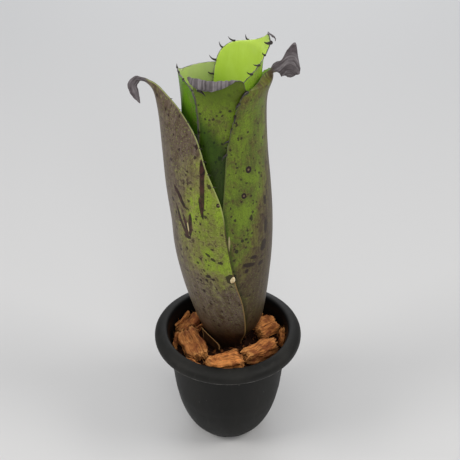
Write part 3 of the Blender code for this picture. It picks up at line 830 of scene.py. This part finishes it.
def tube_axis(height):
    return np.interp(height, TUBE_CURVE[:, 0], TUBE_CURVE[:, 1])


def tube_radius(height, layer, thickness):
    """Outer radius of a leaf: layer 0 is the outermost, each further one nests inside it."""
    outer = np.interp(height, TUBE_CURVE[:, 0], TUBE_CURVE[:, 2])
    return outer - layer * (thickness + LEAF_GAP + LEAF_SLACK * outer)


# ---------------------------------------------------------------- leaves
class Leaf:
    """The shape of one leaf: a grid of points from base to tip and left to right margin."""

    def __init__(self, name, thickness, row_gap, columns=60):
        plan = LEAVES[name]
        self.name = name
        self.plan = plan
        self.thickness = thickness
        values = self.station_values()
        dense = np.linspace(0, len(values) - 1, 1600)
        lines = self.points(spline(values, dense), np.array((-1.0, 0.0, 1.0)))
        steps = np.linalg.norm(np.diff(lines, axis=0), axis=2).max(axis=1)
        length = np.concatenate(([0.0], np.cumsum(steps)))
        count = max(12, int(length[-1] / row_gap))
        places = np.interp(np.linspace(0, length[-1], count), length, dense)
        self.rows = spline(values, places)
        self.share = np.sin(math.pi / 2 * np.linspace(-1, 1, columns + 1))
        grid = self.points(self.rows, self.share)
        middle = grid[:, columns // 2]
        midrib = np.linalg.norm(np.diff(middle, axis=0), axis=1)
        self.along = np.concatenate(([0.0], np.cumsum(midrib)))
        self.grid = grid
        self.measure()
        self.crumple()

    def station_values(self):
        values = []
        for station in self.plan["stations"]:
            if station[0] == "wrapped":
                _, height, left, right, flare = station
                values.append((height, flare, flare, 0.0, 0.0, 0.0, left, right))
            else:
                _, height, out, curl, *angles = station
                radius = float(tube_radius(height, self.plan["layer"], self.thickness))
                values.append((height, out - radius, curl - radius, *angles))
        return values

    def points(self, rows, share):
        height, out, curl, lean, twist, turn, left, right = (rows[:, k, None] for k in range(8))
        radius = tube_radius(height, self.plan["layer"], self.thickness)
        curl = curl + radius
        around = np.radians(self.plan["azimuth"] + turn)
        none = np.zeros_like(around)
        outward = np.stack((np.sin(around), -np.cos(around), none), axis=-1)
        sideways = np.stack((np.cos(around), np.sin(around), none), axis=-1)
        upward = np.stack((none, none, none + 1), axis=-1)
        tipped = np.radians(lean)[..., None]
        inward = np.sin(tipped) * upward - np.cos(tipped) * outward
        rolled = np.radians(twist)[..., None]
        across = np.cos(rolled) * sideways + np.sin(rolled) * inward
        depth = np.cos(rolled) * inward - np.sin(rolled) * sideways
        centre = np.stack((tube_axis(height), none + PLANT_Y, height), axis=-1)
        midrib = centre + (out + radius)[..., None] * outward
        least = 0.08 * (left + right)
        middle = np.minimum(np.maximum(0.0, least - left), right - least)
        angle = np.radians(middle + share * np.where(share > 0, right - middle, left + middle))
        reach = (curl * np.sin(angle))[..., None]
        rise = (curl * (1 - np.cos(angle)))[..., None]
        return midrib + reach * across + rise * depth

    def measure(self):
        """Distances over the surface, and the outward normals."""
        steps = np.linalg.norm(np.diff(self.grid, axis=1), axis=2)
        width = np.concatenate((np.zeros((len(self.grid), 1)), np.cumsum(steps, axis=1)), axis=1)
        middle = self.grid.shape[1] // 2
        self.across = width - width[:, middle:middle + 1]
        self.edge = np.minimum(width, width[:, -1:] - width)
        self.edge = np.minimum(self.edge, (self.along[-1] - self.along)[:, None] + 0.0001)
        over = np.gradient(self.grid, axis=1)
        up = np.gradient(self.grid, axis=0)
        normal = np.cross(over, up)
        size = np.linalg.norm(normal, axis=2, keepdims=True)
        self.normal = normal / np.maximum(size, 1e-12)
        from_tip = (self.along[-1] - self.along)[:, None]
        self.dry = 1 - smooth_step(from_tip, *self.plan["dry"][::-1])
        self.scurf = 1 - smooth_step(from_tip, *self.plan["scurf"][::-1])
        band = 1 - smooth_step(self.edge, 0.0, 2.2 * self.plan["dry_edge"])
        upper = smooth_step(self.along, 0.15, 0.24)[:, None]
        self.dry = np.maximum(self.dry, 0.85 * band * upper)
        self.scurf = np.maximum(self.scurf, 0.6 * band * upper)

    def crumple(self):
        """Wavy margins, and a crinkled surface where the leaf has withered."""
        wave = np.zeros(self.edge.shape)
        pitch = 210.0
        for row, line in enumerate(self.grid):
            for column, point in enumerate(line):
                spot = Vector(point) * pitch
                spot.x += 11.0 * self.plan["layer"]
                near = math.exp(-self.edge[row, column] / 0.0035)
                dry = self.dry[row, column]
                wave[row, column] = (0.00035 * near * noise.noise(spot)
                                     + 0.0010 * dry * noise.noise(spot * 1.9))
        low = smooth_step(self.along, 0.03, 0.12)[:, None]
        self.grid = self.grid + self.normal * (wave * low)[..., None]

    def azimuth(self):
        """Degrees round the tube from the front."""
        return np.degrees(np.arctan2(self.grid[..., 0] - tube_axis(self.grid[..., 2]),
                                     PLANT_Y - self.grid[..., 1]))

    def veil_weight(self):
        """How strong the purple bloom is, from the leaf's plan by height and azimuth."""
        table = np.array(self.plan["veil"], dtype=float)
        start, full, floor = (np.interp(self.grid[..., 2], table[:, 0], table[:, k])
                              for k in (1, 2, 3))
        side = smooth_step(self.azimuth(), start, full)
        return np.clip(floor + (1 - floor) * side, 0.0, 1.0)

    def painted_shade_weight(self):
        """Painted shade on the skin: low in the tube, and beside an overlapping margin."""
        azimuth = self.azimuth()
        painted_shading = np.zeros(azimuth.shape)
        if "painted_shade" in self.plan:
            centre, slope, half = self.plan["painted_shade"]
            painted_shading = smooth_step(centre + slope * azimuth - self.grid[..., 2], -half, half)
        # Painted shadow beside the margins of the leaves that overlap this one.
        for name, full, fading in self.plan.get("under", ()):
            over = Leaf(name, self.thickness, 0.003, columns=12)
            line = over.grid[(over.rows[:, 0] > 0.10) & (over.rows[:, 0] < 0.31), -1]
            gap = np.full(self.edge.shape, 1.0)
            for point in line:
                gap = np.minimum(gap, np.linalg.norm(self.grid - point, axis=2))
            painted_shading = np.maximum(painted_shading, 0.9 * (1 - smooth_step(gap, full, fading)))
        return painted_shading

    def mesh(self):
        """A closed shell: outer skin, inner skin set in by the thickness, and the rim."""
        rows, wide = self.edge.shape
        taper = 1 - 0.6 * np.exp(-self.edge / 0.0012)
        inner = self.grid - self.normal * (self.thickness * taper)[..., None]
        points = np.concatenate((self.grid.reshape(-1, 3), inner.reshape(-1, 3)))
        index = np.arange(rows * wide).reshape(rows, wide)
        corners = (index[:-1, :-1], index[:-1, 1:], index[1:, 1:], index[1:, :-1])
        outer = np.stack(corners, axis=-1).reshape(-1, 4)
        lining = outer[:, ::-1] + rows * wide
        loop = np.concatenate((index[0, :], index[1:, -1], index[-1, -2::-1], index[-2:0:-1, 0]))
        after = np.roll(loop, -1)
        rim = np.stack((after, loop, loop + rows * wide, after + rows * wide), axis=-1)
        faces = np.concatenate((outer, lining, rim))
        made = bpy.data.meshes.new(self.name)
        made.from_pydata(points.tolist(), [], faces.tolist())
        lined = np.zeros(len(faces), dtype=np.int32)
        lined[len(outer):len(outer) + len(lining)] = 1
        made.materials.append(None)
        made.materials.append(None)
        made.polygons.foreach_set("material_index", lined)
        made.shade_smooth()
        skin = np.stack((self.across, SKIN_START + self.along[:, None] + 0 * self.across), axis=-1)
        skin = np.tile(skin.reshape(-1, 2), (2, 1))
        corner = np.empty(len(made.loops), dtype=np.int32)
        made.loops.foreach_get("vertex_index", corner)
        made.uv_layers.new(name="UVMap").data.foreach_set("uv", skin[corner].astype(np.float32).ravel())
        for label, values in (("dry", self.dry), ("scurf", self.scurf), ("edge", self.edge),
                              ("veil", self.veil_weight()), ("painted_shade", self.painted_shade_weight())):
            set_values(made, label, "FLOAT", np.tile(values.reshape(-1), 2))
        return made

    def margin(self, side, low, high, lift):
        """Points along a margin between two heights, with their outward aims and normals."""
        if side == 0:
            count = self.grid.shape[1]
            run = slice(int(low * count), int(high * count))
            line = self.grid[-1, run]
            aim = self.grid[-1, run] - self.grid[-3, run]
            face = self.normal[-1, run]
        else:
            edge = 0 if side < 0 else -1
            inside = 1 if side < 0 else -2
            height = self.rows[:, 0]
            top = int(np.argmax(height > high)) or len(height)
            start = int(np.argmax(height > low))
            line = self.grid[start:top, edge]
            aim = self.grid[start:top, edge] - self.grid[start:top, inside]
            face = self.normal[start:top, edge]
        aim = aim / np.linalg.norm(aim, axis=1, keepdims=True) + lift * face
        return line, aim / np.linalg.norm(aim, axis=1, keepdims=True), face


# ---------------------------------------------------------------- geometry nodes trees
def spine_tree():
    """Hooked spines standing out from a margin at even steps."""
    tree, given = node_group("margin_spines", (
        ("Spacing", "Float"), ("Length", "Float"), ("Width", "Float"), ("Hook", "Float"),
        ("Seed", "Int"), ("Material", "Material")))
    rail = put(tree, "GeometryNodeMeshToCurve", {0: given["Geometry"]}).outputs[0]
    steps = put(tree, "GeometryNodeResampleCurve", {"Curve": rail, "Length": given["Spacing"]},
                mode="LENGTH").outputs[0]
    middle = put(tree, "ShaderNodeCombineXYZ", {"Z": times(tree, given["Length"], 0.62)})
    tip = put(tree, "ShaderNodeCombineXYZ", {
        "Y": times(tree, given["Length"], given["Hook"]), "Z": given["Length"]})
    hook = put(tree, "GeometryNodeCurveQuadraticBezier", {
        "Resolution": 7, "Start": (0.0, 0.0, -0.0004), "Middle": middle.outputs[0],
        "End": tip.outputs[0]}).outputs[0]
    along = put(tree, "GeometryNodeSplineParameter").outputs["Factor"]
    thin = maths(tree, "POWER", maths(tree, "SUBTRACT", 1.02, along), 0.8)
    ring = put(tree, "GeometryNodeCurvePrimitiveCircle", {"Resolution": 6, "Radius": 1.0}).outputs[0]
    spine = put(tree, "GeometryNodeCurveToMesh", {
        "Curve": hook, "Profile Curve": ring, "Fill Caps": True,
        "Scale": times(tree, thin, given["Width"])}).outputs[0]
    aim = put(tree, "GeometryNodeInputNamedAttribute", {"Name": "aim"}, data_type="FLOAT_VECTOR")
    face = put(tree, "GeometryNodeInputNamedAttribute", {"Name": "face"}, data_type="FLOAT_VECTOR")
    facing = put(tree, "FunctionNodeAxesToRotation", {0: aim.outputs[0], 1: face.outputs[0]},
                 primary_axis="Z", secondary_axis="X").outputs[0]
    tilt = put(tree, "FunctionNodeRandomValue", {"Min": (-0.25, -0.3, -0.3), "Max": (0.25, 0.3, 0.3),
               "Seed": given["Seed"]}, data_type="FLOAT_VECTOR").outputs[0]
    turned = put(tree, "FunctionNodeRotateRotation", {0: facing, 1: tilt},
                 rotation_space="LOCAL").outputs[0]
    size = put(tree, "FunctionNodeRandomValue", {2: 0.55, 3: 1.2, "Seed": given["Seed"]},
               data_type="FLOAT").outputs[1]
    placed = put(tree, "GeometryNodeInstanceOnPoints", {
        "Points": steps, "Instance": spine, "Rotation": turned, "Scale": size}).outputs[0]
    return close_group(tree, placed, given["Material"])


def turned_tree():
    """A wall turned about Z from the profile in the object's own mesh."""
    tree, given = node_group("turned_wall", (
        ("Rings", "Int"), ("Steps", "Int"), ("Material", "Material")))
    profile = put(tree, "GeometryNodeMeshToCurve", {0: given["Geometry"]}).outputs[0]
    sheet = put(tree, "GeometryNodeMeshGrid", {
        "Size X": 1.0, "Size Y": 1.0, "Vertices X": given["Steps"], "Vertices Y": given["Rings"]})
    place = put(tree, "ShaderNodeSeparateXYZ", {0: put(tree, "GeometryNodeInputPosition").outputs[0]})
    share = plus(tree, place.outputs[1], 0.5)
    angle = times(tree, plus(tree, place.outputs[0], 0.5), -math.tau)
    sample = put(tree, "GeometryNodeSampleCurve", {"Curves": profile, "Factor": share},
                 mode="FACTOR", use_all_curves=True)
    read = put(tree, "ShaderNodeSeparateXYZ", {0: sample.outputs["Position"]})
    spot = put(tree, "ShaderNodeCombineXYZ", {
        "X": times(tree, read.outputs[0], maths(tree, "COSINE", angle)),
        "Y": times(tree, read.outputs[0], maths(tree, "SINE", angle)),
        "Z": read.outputs[2]})
    bent = put(tree, "GeometryNodeSetPosition", {
        "Geometry": sheet.outputs[0], "Position": spot.outputs[0]})
    welded = put(tree, "GeometryNodeMergeByDistance", {"Geometry": bent.outputs[0], "Distance": 0.00001})
    return close_group(tree, welded.outputs[0], given["Material"])


def crumb_tree():
    """Small broken bits scattered over the faces of the object's own mesh."""
    tree, given = node_group("husk_crumbs", (
        ("Count", "Float"), ("Smallest", "Float"), ("Largest", "Float"), ("Seed", "Int"),
        ("Material", "Material")))
    area = put(tree, "GeometryNodeAttributeStatistic", {
        "Geometry": given["Geometry"], 2: put(tree, "GeometryNodeInputMeshFaceArea").outputs[0]},
        data_type="FLOAT", domain="FACE").outputs["Sum"]
    density = maths(tree, "DIVIDE", given["Count"], area)
    spread = put(tree, "GeometryNodeDistributePointsOnFaces", {
        "Mesh": given["Geometry"], "Density": density, "Seed": given["Seed"]},
        distribute_method="RANDOM").outputs["Points"]
    bit = put(tree, "GeometryNodeMeshIcoSphere", {"Radius": 1.0, "Subdivisions": 2}).outputs[0]
    chipped = put(tree, "ShaderNodeTexNoise", {"Scale": 0.9, "Detail": 1.0})
    push = put(tree, "ShaderNodeVectorMath", {0: chipped.outputs["Color"], 1: (0.5, 0.5, 0.5)},
               operation="SUBTRACT").outputs[0]
    bit = put(tree, "GeometryNodeSetPosition", {"Geometry": bit, "Offset": push}).outputs[0]
    turn = put(tree, "FunctionNodeRandomValue", {"Min": (0, 0, 0), "Max": (6.28, 6.28, 6.28),
               "Seed": given["Seed"]}, data_type="FLOAT_VECTOR").outputs[0]
    size = put(tree, "FunctionNodeRandomValue", {2: given["Smallest"], 3: given["Largest"],
               "Seed": given["Seed"]}, data_type="FLOAT").outputs[1]
    shape = put(tree, "FunctionNodeRandomValue", {"Min": (0.5, 0.4, 0.3), "Max": (1.8, 0.9, 0.8),
                "Seed": given["Seed"]}, data_type="FLOAT_VECTOR").outputs[0]
    scale = put(tree, "ShaderNodeVectorMath", {0: shape, "Scale": size}, operation="SCALE").outputs[0]
    placed = put(tree, "GeometryNodeInstanceOnPoints", {
        "Points": spread, "Instance": bit, "Rotation": turn, "Scale": scale}).outputs[0]
    return close_group(tree, placed, given["Material"])


def strand_tree():
    """Loose fibres lifting off the faces of the object's own mesh."""
    tree, given = node_group("husk_strands", (
        ("Density", "Float"), ("Length", "Float"), ("Width", "Float"), ("Seed", "Int"),
        ("Material", "Material")))
    spread = put(tree, "GeometryNodeDistributePointsOnFaces", {
        "Mesh": given["Geometry"], "Density": given["Density"], "Seed": given["Seed"]},
        distribute_method="RANDOM")
    length = given["Length"]
    middle = put(tree, "ShaderNodeCombineXYZ", {
        "X": times(tree, length, 0.55), "Z": times(tree, length, 0.22)})
    end = put(tree, "ShaderNodeCombineXYZ", {
        "X": length, "Y": times(tree, length, 0.18), "Z": times(tree, length, 0.05)})
    bow = put(tree, "GeometryNodeCurveQuadraticBezier", {
        "Resolution": 7, "Start": (0.0, 0.0, 0.0), "Middle": middle.outputs[0],
        "End": end.outputs[0]}).outputs[0]
    ring = put(tree, "GeometryNodeCurvePrimitiveCircle", {"Resolution": 3, "Radius": 1.0}).outputs[0]
    strand = put(tree, "GeometryNodeCurveToMesh", {
        "Curve": bow, "Profile Curve": ring, "Fill Caps": True, "Scale": given["Width"]}).outputs[0]
    fibre = put(tree, "GeometryNodeInputNamedAttribute", {"Name": "axis"}, data_type="FLOAT_VECTOR")
    facing = put(tree, "FunctionNodeAxesToRotation", {
        0: spread.outputs["Normal"], 1: fibre.outputs[0]},
        primary_axis="Z", secondary_axis="X").outputs[0]
    sway = put(tree, "FunctionNodeRandomValue", {"Min": (-0.3, -0.4, -0.7), "Max": (0.3, 0.2, 0.7),
               "Seed": given["Seed"]}, data_type="FLOAT_VECTOR").outputs[0]
    turned = put(tree, "FunctionNodeRotateRotation", {0: facing, 1: sway},
                 rotation_space="LOCAL").outputs[0]
    size = put(tree, "FunctionNodeRandomValue", {2: 0.35, 3: 1.25, "Seed": given["Seed"]},
               data_type="FLOAT").outputs[1]
    placed = put(tree, "GeometryNodeInstanceOnPoints", {
        "Points": spread.outputs["Points"], "Instance": strand, "Rotation": turned,
        "Scale": size}).outputs[0]
    return close_group(tree, placed, given["Material"])


# ---------------------------------------------------------------- operators
class BROMELIAD_OT_pot(bpy.types.Operator):
    """Turn the nursery pot with its rolled rim and cut its drain holes"""
    bl_idname = "bromeliad.pot"
    bl_label = "Pot"

    def execute(self, context):
        settings = context.scene.bromeliad.pot
        wall = settings.wall
        outer = [(0.0306, 0.0040), (0.0345, 0.0090), (0.0382, 0.0163), (0.0412, 0.0245),
                 (0.0434, 0.0326), (0.0450, 0.0408), (0.0463, 0.0490), (0.0484, 0.0700),
                 (0.0506, 0.0920), (0.0513, 0.0985)]
        inner = [(radius - wall, height) for radius, height in outer[1:]]
        roll = [(0.0508, 0.1030), (0.0525, POT_HEIGHT), (0.0560, POT_HEIGHT), (0.0594, 0.1050),
                (0.0618, 0.1028), (RIM_RADIUS, 0.1003), (0.0622, 0.0974), (0.0612, 0.0966),
                (0.0609, 0.0990), (0.0592, 0.1020), (0.0562, 0.1043), (0.0536, 0.1036)]
        foot = [(0.0279, 0.0014), (0.0249, 0.0), (0.0, 0.0)]
        profile = [(0.0, wall), (0.0270, wall), (0.0292, 0.0042)] + inner + roll + outer[::-1] + foot
        rounded = spline(profile, np.linspace(0, len(profile) - 1, 10 * len(profile)))
        rounded[:, 0] = np.maximum(rounded[:, 0], 0.0)
        rounded[:, 1] = np.maximum(rounded[:, 1], 0.0)
        mesh = bpy.data.meshes.new("pot_profile")
        mesh.from_pydata([(radius, 0.0, height) for radius, height in rounded],
                         [(k, k + 1) for k in range(len(rounded) - 1)], [])
        pot = link("pot_profile", mesh)
        plastic = moulded_plastic("charcoal_plastic_finish", settings)
        node_modifier(pot, turned_tree(), {
            "Rings": 190, "Steps": settings.steps + 1, "Material": plastic})
        pot = applied(pot, "pot_wall_blank")
        for number in range(DRAIN_HOLES):
            cut = pot.modifiers.new("Drain", "BOOLEAN")
            cut.operation = "DIFFERENCE"
            cut.solver = "EXACT"
            cut.object = self.drain_cutter(number)
        pot = applied(pot, "nursery_pot")
        for item in [item for item in bpy.data.objects if item.name.startswith("drain_cutter")]:
            bpy.data.objects.remove(item, do_unlink=True)
        pot.data.shade_smooth()
        pot.data.set_sharp_from_angle(angle=math.radians(40))
        settle(pot, "pot")
        return {"FINISHED"}

    def drain_cutter(self, number):
        angle = math.tau * number / DRAIN_HOLES
        place = (DRAIN_RING * math.sin(angle), DRAIN_RING * math.cos(angle), 0.001)
        mesh = bpy.data.meshes.new("drain_cutter")
        form = bmesh.new()
        bmesh.ops.create_cone(form, cap_ends=True, segments=24, radius1=DRAIN_RADIUS,
                              radius2=DRAIN_RADIUS, depth=0.006)
        bmesh.ops.translate(form, verts=form.verts, vec=place)
        form.to_mesh(mesh)
        form.free()
        return link(f"drain_cutter_{number}", mesh)


class BROMELIAD_OT_potting_mix(bpy.types.Operator):
    """Finish the husk mix and scatter crumbs over its top"""
    bl_idname = "bromeliad.potting_mix"
    bl_label = "Potting mix"

    def execute(self, context):
        settings = context.scene.bromeliad.husk
        surface = dark_crumb("mix_crumb_finish", settings)
        node = NODES["potting_mix"]
        node.data.materials.clear()
        node.data.materials.append(surface)
        mesh = bpy.data.meshes.new("crumb_bed")
        form = bmesh.new()
        bmesh.ops.create_circle(form, cap_ends=True, segments=64, radius=MIX_RADIUS - 0.0012)
        bmesh.ops.translate(form, verts=form.verts, vec=(0.0, 0.0, MIX_TOP + 0.0003))
        form.to_mesh(mesh)
        form.free()
        bed = link("crumb_bed", mesh)
        node_modifier(bed, crumb_tree(), {"Count": float(settings.crumbs), "Smallest": 0.0005,
                      "Largest": 0.0019, "Seed": 4, "Material": surface})
        crumbs = applied(bed, "mix_crumbs")
        settle(crumbs, None)
        return {"FINISHED"}


class BROMELIAD_OT_husk_chips(bpy.types.Operator):
    """Break up each chip of husk into ragged fibre, with loose strands"""
    bl_idname = "bromeliad.husk_chips"
    bl_label = "Husk chips"

    def execute(self, context):
        settings = context.scene.bromeliad.husk
        tones = (1.05, 0.84, 0.62)
        surfaces = [husk_fibre(f"husk_fibre_finish_{k}", settings, tone) for k, tone in enumerate(tones)]
        scatter = strand_tree()
        for number, node in enumerate(sorted(name for name in NODES if name.startswith("husk_chip"))):
            chip = self.chip(node, number)
            low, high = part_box(node)
            facing = (low[1] + high[1]) / (2 * MIX_RADIUS)
            surface = surfaces[0 if facing < -0.55 else 1 if (facing < 0.1) == (number % 2 == 0) else 2]
            strands = chip.copy()
            strands.data = chip.data.copy()
            context.scene.collection.objects.link(strands)
            area = sum(face.area for face in chip.data.polygons)
            node_modifier(strands, scatter, {
                "Density": settings.strands / area, "Length": settings.strand, "Width": 0.00011,
                "Seed": number, "Material": surface})
            strands = applied(strands, f"{node}_strands")
            chip.data.materials.append(surface)
            grain = np.zeros((len(strands.data.vertices), 3))
            grain[:, 1] = 0.002 * (np.arange(len(grain)) // 24)
            set_values(strands.data, "grain", "FLOAT_VECTOR", grain)
            set_values(strands.data, "torn", "FLOAT", np.zeros(len(grain)))
            settle(chip, node)
            settle(strands, None)
        return {"FINISHED"}

    def chip(self, node, number):
        """A ragged copy of the plain block: ridged along its fibre, torn at both ends."""
        form = bmesh.new()
        form.from_mesh(NODES[node].data)
        bmesh.ops.remove_doubles(form, verts=form.verts, dist=0.00001)
        bmesh.ops.join_triangles(form, faces=form.faces, angle_face_threshold=0.3,
                                 angle_shape_threshold=3.1)
        for _ in range(2):
            bmesh.ops.subdivide_edges(form, edges=form.edges, cuts=3, use_grid_fill=True)
        points = np.array([vert.co for vert in form.verts])
        centre = (points.max(axis=0) + points.min(axis=0)) / 2
        flat = points - centre
        fibre = np.linalg.svd(flat, full_matrices=False)[2][0]
        fibre[2] *= 0.3
        fibre /= np.linalg.norm(fibre)
        side = np.cross((0.0, 0.0, 1.0), fibre)
        side /= np.linalg.norm(side)
        local = np.stack((flat @ fibre, flat @ side, flat @ np.cross(fibre, side)), axis=1)
        half = np.abs(local).max(axis=0)
        form.normal_update()
        shift = Vector((7.3 * number, 3.1 * number, 0.0))
        for vert, place in zip(form.verts, local):
            share = place / half
            end = max(0.0, abs(share[0]) - 0.62) / 0.38
            tip = np.sign(share[0])
            ridges = Vector((place[0] * 60, place[1] * 520, place[2] * 520)) + shift
            tears = Vector((place[0] * 40, place[1] * 620, place[2] * 620)) - shift
            ridge = noise.fractal(ridges, 0.8, 2.0, 3)
            torn = noise.fractal(tears, 0.7, 2.0, 3)
            lump = noise.noise(Vector(place) * 150 + shift)
            pinch = 0.30 + 0.45 * noise.noise(Vector((number * 3.7, tip, 0.5)))
            rise = 0.0011 * noise.noise(Vector((place[0] * 70, 9.1, number)))
            skew = 0.0034 * noise.noise(Vector((place[0] * 60, 0.0, 0.0)) + shift * 3)
            round_off = max(0.0, np.abs(share[1]) ** 4 + np.abs(share[2]) ** 4 - 0.7) * 0.0010
            push = 0.0011 * ridge + 0.0021 * lump - round_off + 0.0004
            vert.co += vert.normal * push
            narrow = end * end * pinch
            vert.co -= Vector(side) * float(place[1] * narrow)
            vert.co += Vector((0, 0, 1)) * float(rise)
            vert.co += Vector(side) * float(skew)
            vert.co -= Vector(fibre) * float(tip * end * (0.0026 * torn - 0.0004))
        mesh = bpy.data.meshes.new(node + "_broken")
        form.to_mesh(mesh)
        form.free()
        mesh.shade_smooth()
        set_values(mesh, "grain", "FLOAT_VECTOR", local + 0.05 * number)
        set_values(mesh, "torn", "FLOAT", smooth_step(np.abs(local[:, 0]) / half[0], 0.74, 1.0))
        set_values(mesh, "axis", "FLOAT_VECTOR", np.tile(fibre, (len(local), 1)))
        return link(node + "_broken", mesh)


class BROMELIAD_OT_leaves(bpy.types.Operator):
    """Grow the leaves and the bract, and finish the stem they stand on"""
    bl_idname = "bromeliad.leaves"
    bl_label = "Leaves"

    def execute(self, context):
        settings = context.scene.bromeliad.leaf
        for name, look in LOOKS.items():
            leaf = Leaf(name, settings.thickness, settings.row)
            piece = link(name + "_blade", leaf.mesh())
            piece.data.materials[0] = leaf_skin(name + "_skin", settings, look)
            piece.data.materials[1] = leaf_lining(name + "_lining", settings, look)
            settle(piece, name)
        stem = NODES["stem_base"]
        stem.data.materials.clear()
        stem.data.materials.append(dark_crumb("stem_finish", context.scene.bromeliad.husk))
        return {"FINISHED"}


class BROMELIAD_OT_spines(bpy.types.Operator):
    """Set hooked spines along the leaf margins"""
    bl_idname = "bromeliad.spines"
    bl_label = "Spines"

    def execute(self, context):
        settings = context.scene.bromeliad.leaf
        tree = spine_tree()
        black = horn("spine_horn", settings)
        leaves = {}
        for number, (name, side, low, high, length, hook, lift) in enumerate(SPINY_MARGINS):
            if name not in leaves:
                leaves[name] = Leaf(name, settings.thickness, settings.row)
            line, aim, face = leaves[name].margin(side, low, high, lift)
            mesh = bpy.data.meshes.new("margin")
            mesh.from_pydata(line.tolist(), [(k, k + 1) for k in range(len(line) - 1)], [])
            set_values(mesh, "aim", "FLOAT_VECTOR", aim)
            set_values(mesh, "face", "FLOAT_VECTOR", face)
            rail = link("margin", mesh)
            node_modifier(rail, tree, {
                "Spacing": settings.spine_gap, "Length": length, "Width": 0.17 * length + 0.0001,
                "Hook": hook, "Seed": number, "Material": black})
            spines = applied(rail, f"{name}_spines_{number + 1}")
            spines.data.shade_smooth()
            settle(spines, None)
        return {"FINISHED"}


class BROMELIAD_OT_bud(bpy.types.Operator):
    """Make the small pale bud where the two outer leaves cross"""
    bl_idname = "bromeliad.bud"
    bl_label = "Bud"

    def execute(self, context):
        settings = context.scene.bromeliad.leaf
        leaf = Leaf("leaf_left_outer", settings.thickness, settings.row)
        row = int(np.argmin(np.abs(leaf.rows[:, 0] - 0.1775)))
        column = int(np.argmin(np.abs(leaf.edge[row, leaf.edge.shape[1] // 2:] - 0.0012)))
        column += leaf.edge.shape[1] // 2
        spot = leaf.grid[row, column] + 0.0006 * leaf.normal[row, column]
        form = bmesh.new()
        bmesh.ops.create_uvsphere(form, u_segments=28, v_segments=18, radius=1.0)
        for vert in form.verts:
            pinch = 1.0 - 0.35 * max(0.0, vert.co.z)
            crease = 1.0 + 0.10 * noise.noise(vert.co * 2.3)
            place = Vector((vert.co.x * 0.0019 * pinch, vert.co.y * 0.0013, vert.co.z * 0.0030)) * crease
            place.x += 0.22 * place.z
            vert.co = place + Vector(spot)
        mesh = bpy.data.meshes.new("pale_bud")
        form.to_mesh(mesh)
        form.free()
        mesh.shade_smooth()
        bud = link("pale_bud", mesh, (cream_bud("cream_bud_finish"),))
        settle(bud, None)
        return {"FINISHED"}


class BROMELIAD_OT_stage(bpy.types.Operator):
    """Lay the pale floor, hang the soft lights and place the camera"""
    bl_idname = "bromeliad.stage"
    bl_label = "Stage"

    def execute(self, context):
        settings = context.scene.bromeliad.stage
        scene = context.scene
        mesh = bpy.data.meshes.new("floor")
        form = bmesh.new()
        bmesh.ops.create_grid(form, x_segments=4, y_segments=4, size=6.0)
        form.to_mesh(mesh)
        form.free()
        made, tree = new_material("pale_floor_finish")
        place = object_place(tree)
        cloud = noisy(tree, place, 1.3, 2.0)
        colour = mixed(tree, ranged(tree, cloud, 0.3, 0.7, 0.0, 0.06), settings.floor,
                       (0.60, 0.61, 0.62))
        finish_material(tree, colour, 0.7, specular_ior_level=0.2)
        floor = link("floor", mesh, (made,))
        for lamp in LIGHTS:
            self.light(*lamp)
        world = bpy.data.worlds.new("pale_room")
        world.use_nodes = True
        world.node_tree.nodes["Background"].inputs[0].default_value = (0.93, 0.95, 1.0, 1.0)
        world.node_tree.nodes["Background"].inputs[1].default_value = 0.33
        scene.world = world
        scene.view_settings.view_transform = "Standard"
        camera = bpy.data.objects.new("camera", bpy.data.cameras.new("camera"))
        camera.data.sensor_width = 36.0
        camera.data.lens = settings.lens
        camera.location = (0.0018, -0.5901, 0.6047)
        camera.rotation_euler = (math.radians(90) - settings.pitch, 0.0, 0.0)
        scene.collection.objects.link(camera)
        scene.camera = camera
        return {"FINISHED"}

    def light(self, name, place, target, size, power, colour):
        lamp = bpy.data.lights.new(name, "AREA")
        lamp.size = size
        lamp.energy = power
        lamp.color = colour
        item = bpy.data.objects.new(name, lamp)
        item.location = place
        item.rotation_euler = (Vector(target) - Vector(place)).to_track_quat("-Z", "Y").to_euler()
        bpy.context.scene.collection.objects.link(item)


PIECES = (BROMELIAD_OT_pot, BROMELIAD_OT_potting_mix, BROMELIAD_OT_husk_chips, BROMELIAD_OT_leaves,
          BROMELIAD_OT_spines, BROMELIAD_OT_bud, BROMELIAD_OT_stage)


class BROMELIAD_PT_panel(bpy.types.Panel):
    """Lists the pieces and their settings"""
    bl_idname = "BROMELIAD_PT_panel"
    bl_label = "Potted Bromeliad"
    bl_space_type = "VIEW_3D"
    bl_region_type = "UI"
    bl_category = "Bromeliad"

    def draw(self, context):
        settings = context.scene.bromeliad
        for piece in PIECES:
            self.layout.operator(piece.bl_idname)
        for group in (settings.pot, settings.husk, settings.leaf, settings.stage):
            box = self.layout.box()
            for key in group.__annotations__:
                box.prop(group, key)


CLASSES = (PotSettings, HuskSettings, LeafSettings, StageSettings, BromeliadSettings, *PIECES,
           BROMELIAD_PT_panel)


def register():
    for item in CLASSES:
        bpy.utils.register_class(item)
    bpy.types.Scene.bromeliad = PointerProperty(type=BromeliadSettings)


def unregister():
    del bpy.types.Scene.bromeliad
    for item in reversed(CLASSES):
        bpy.utils.unregister_class(item)


def main():
    register()
    for piece in PIECES:
        area, name = piece.bl_idname.split(".")
        getattr(getattr(bpy.ops, area), name)()


if __name__ == "__main__":
    main()
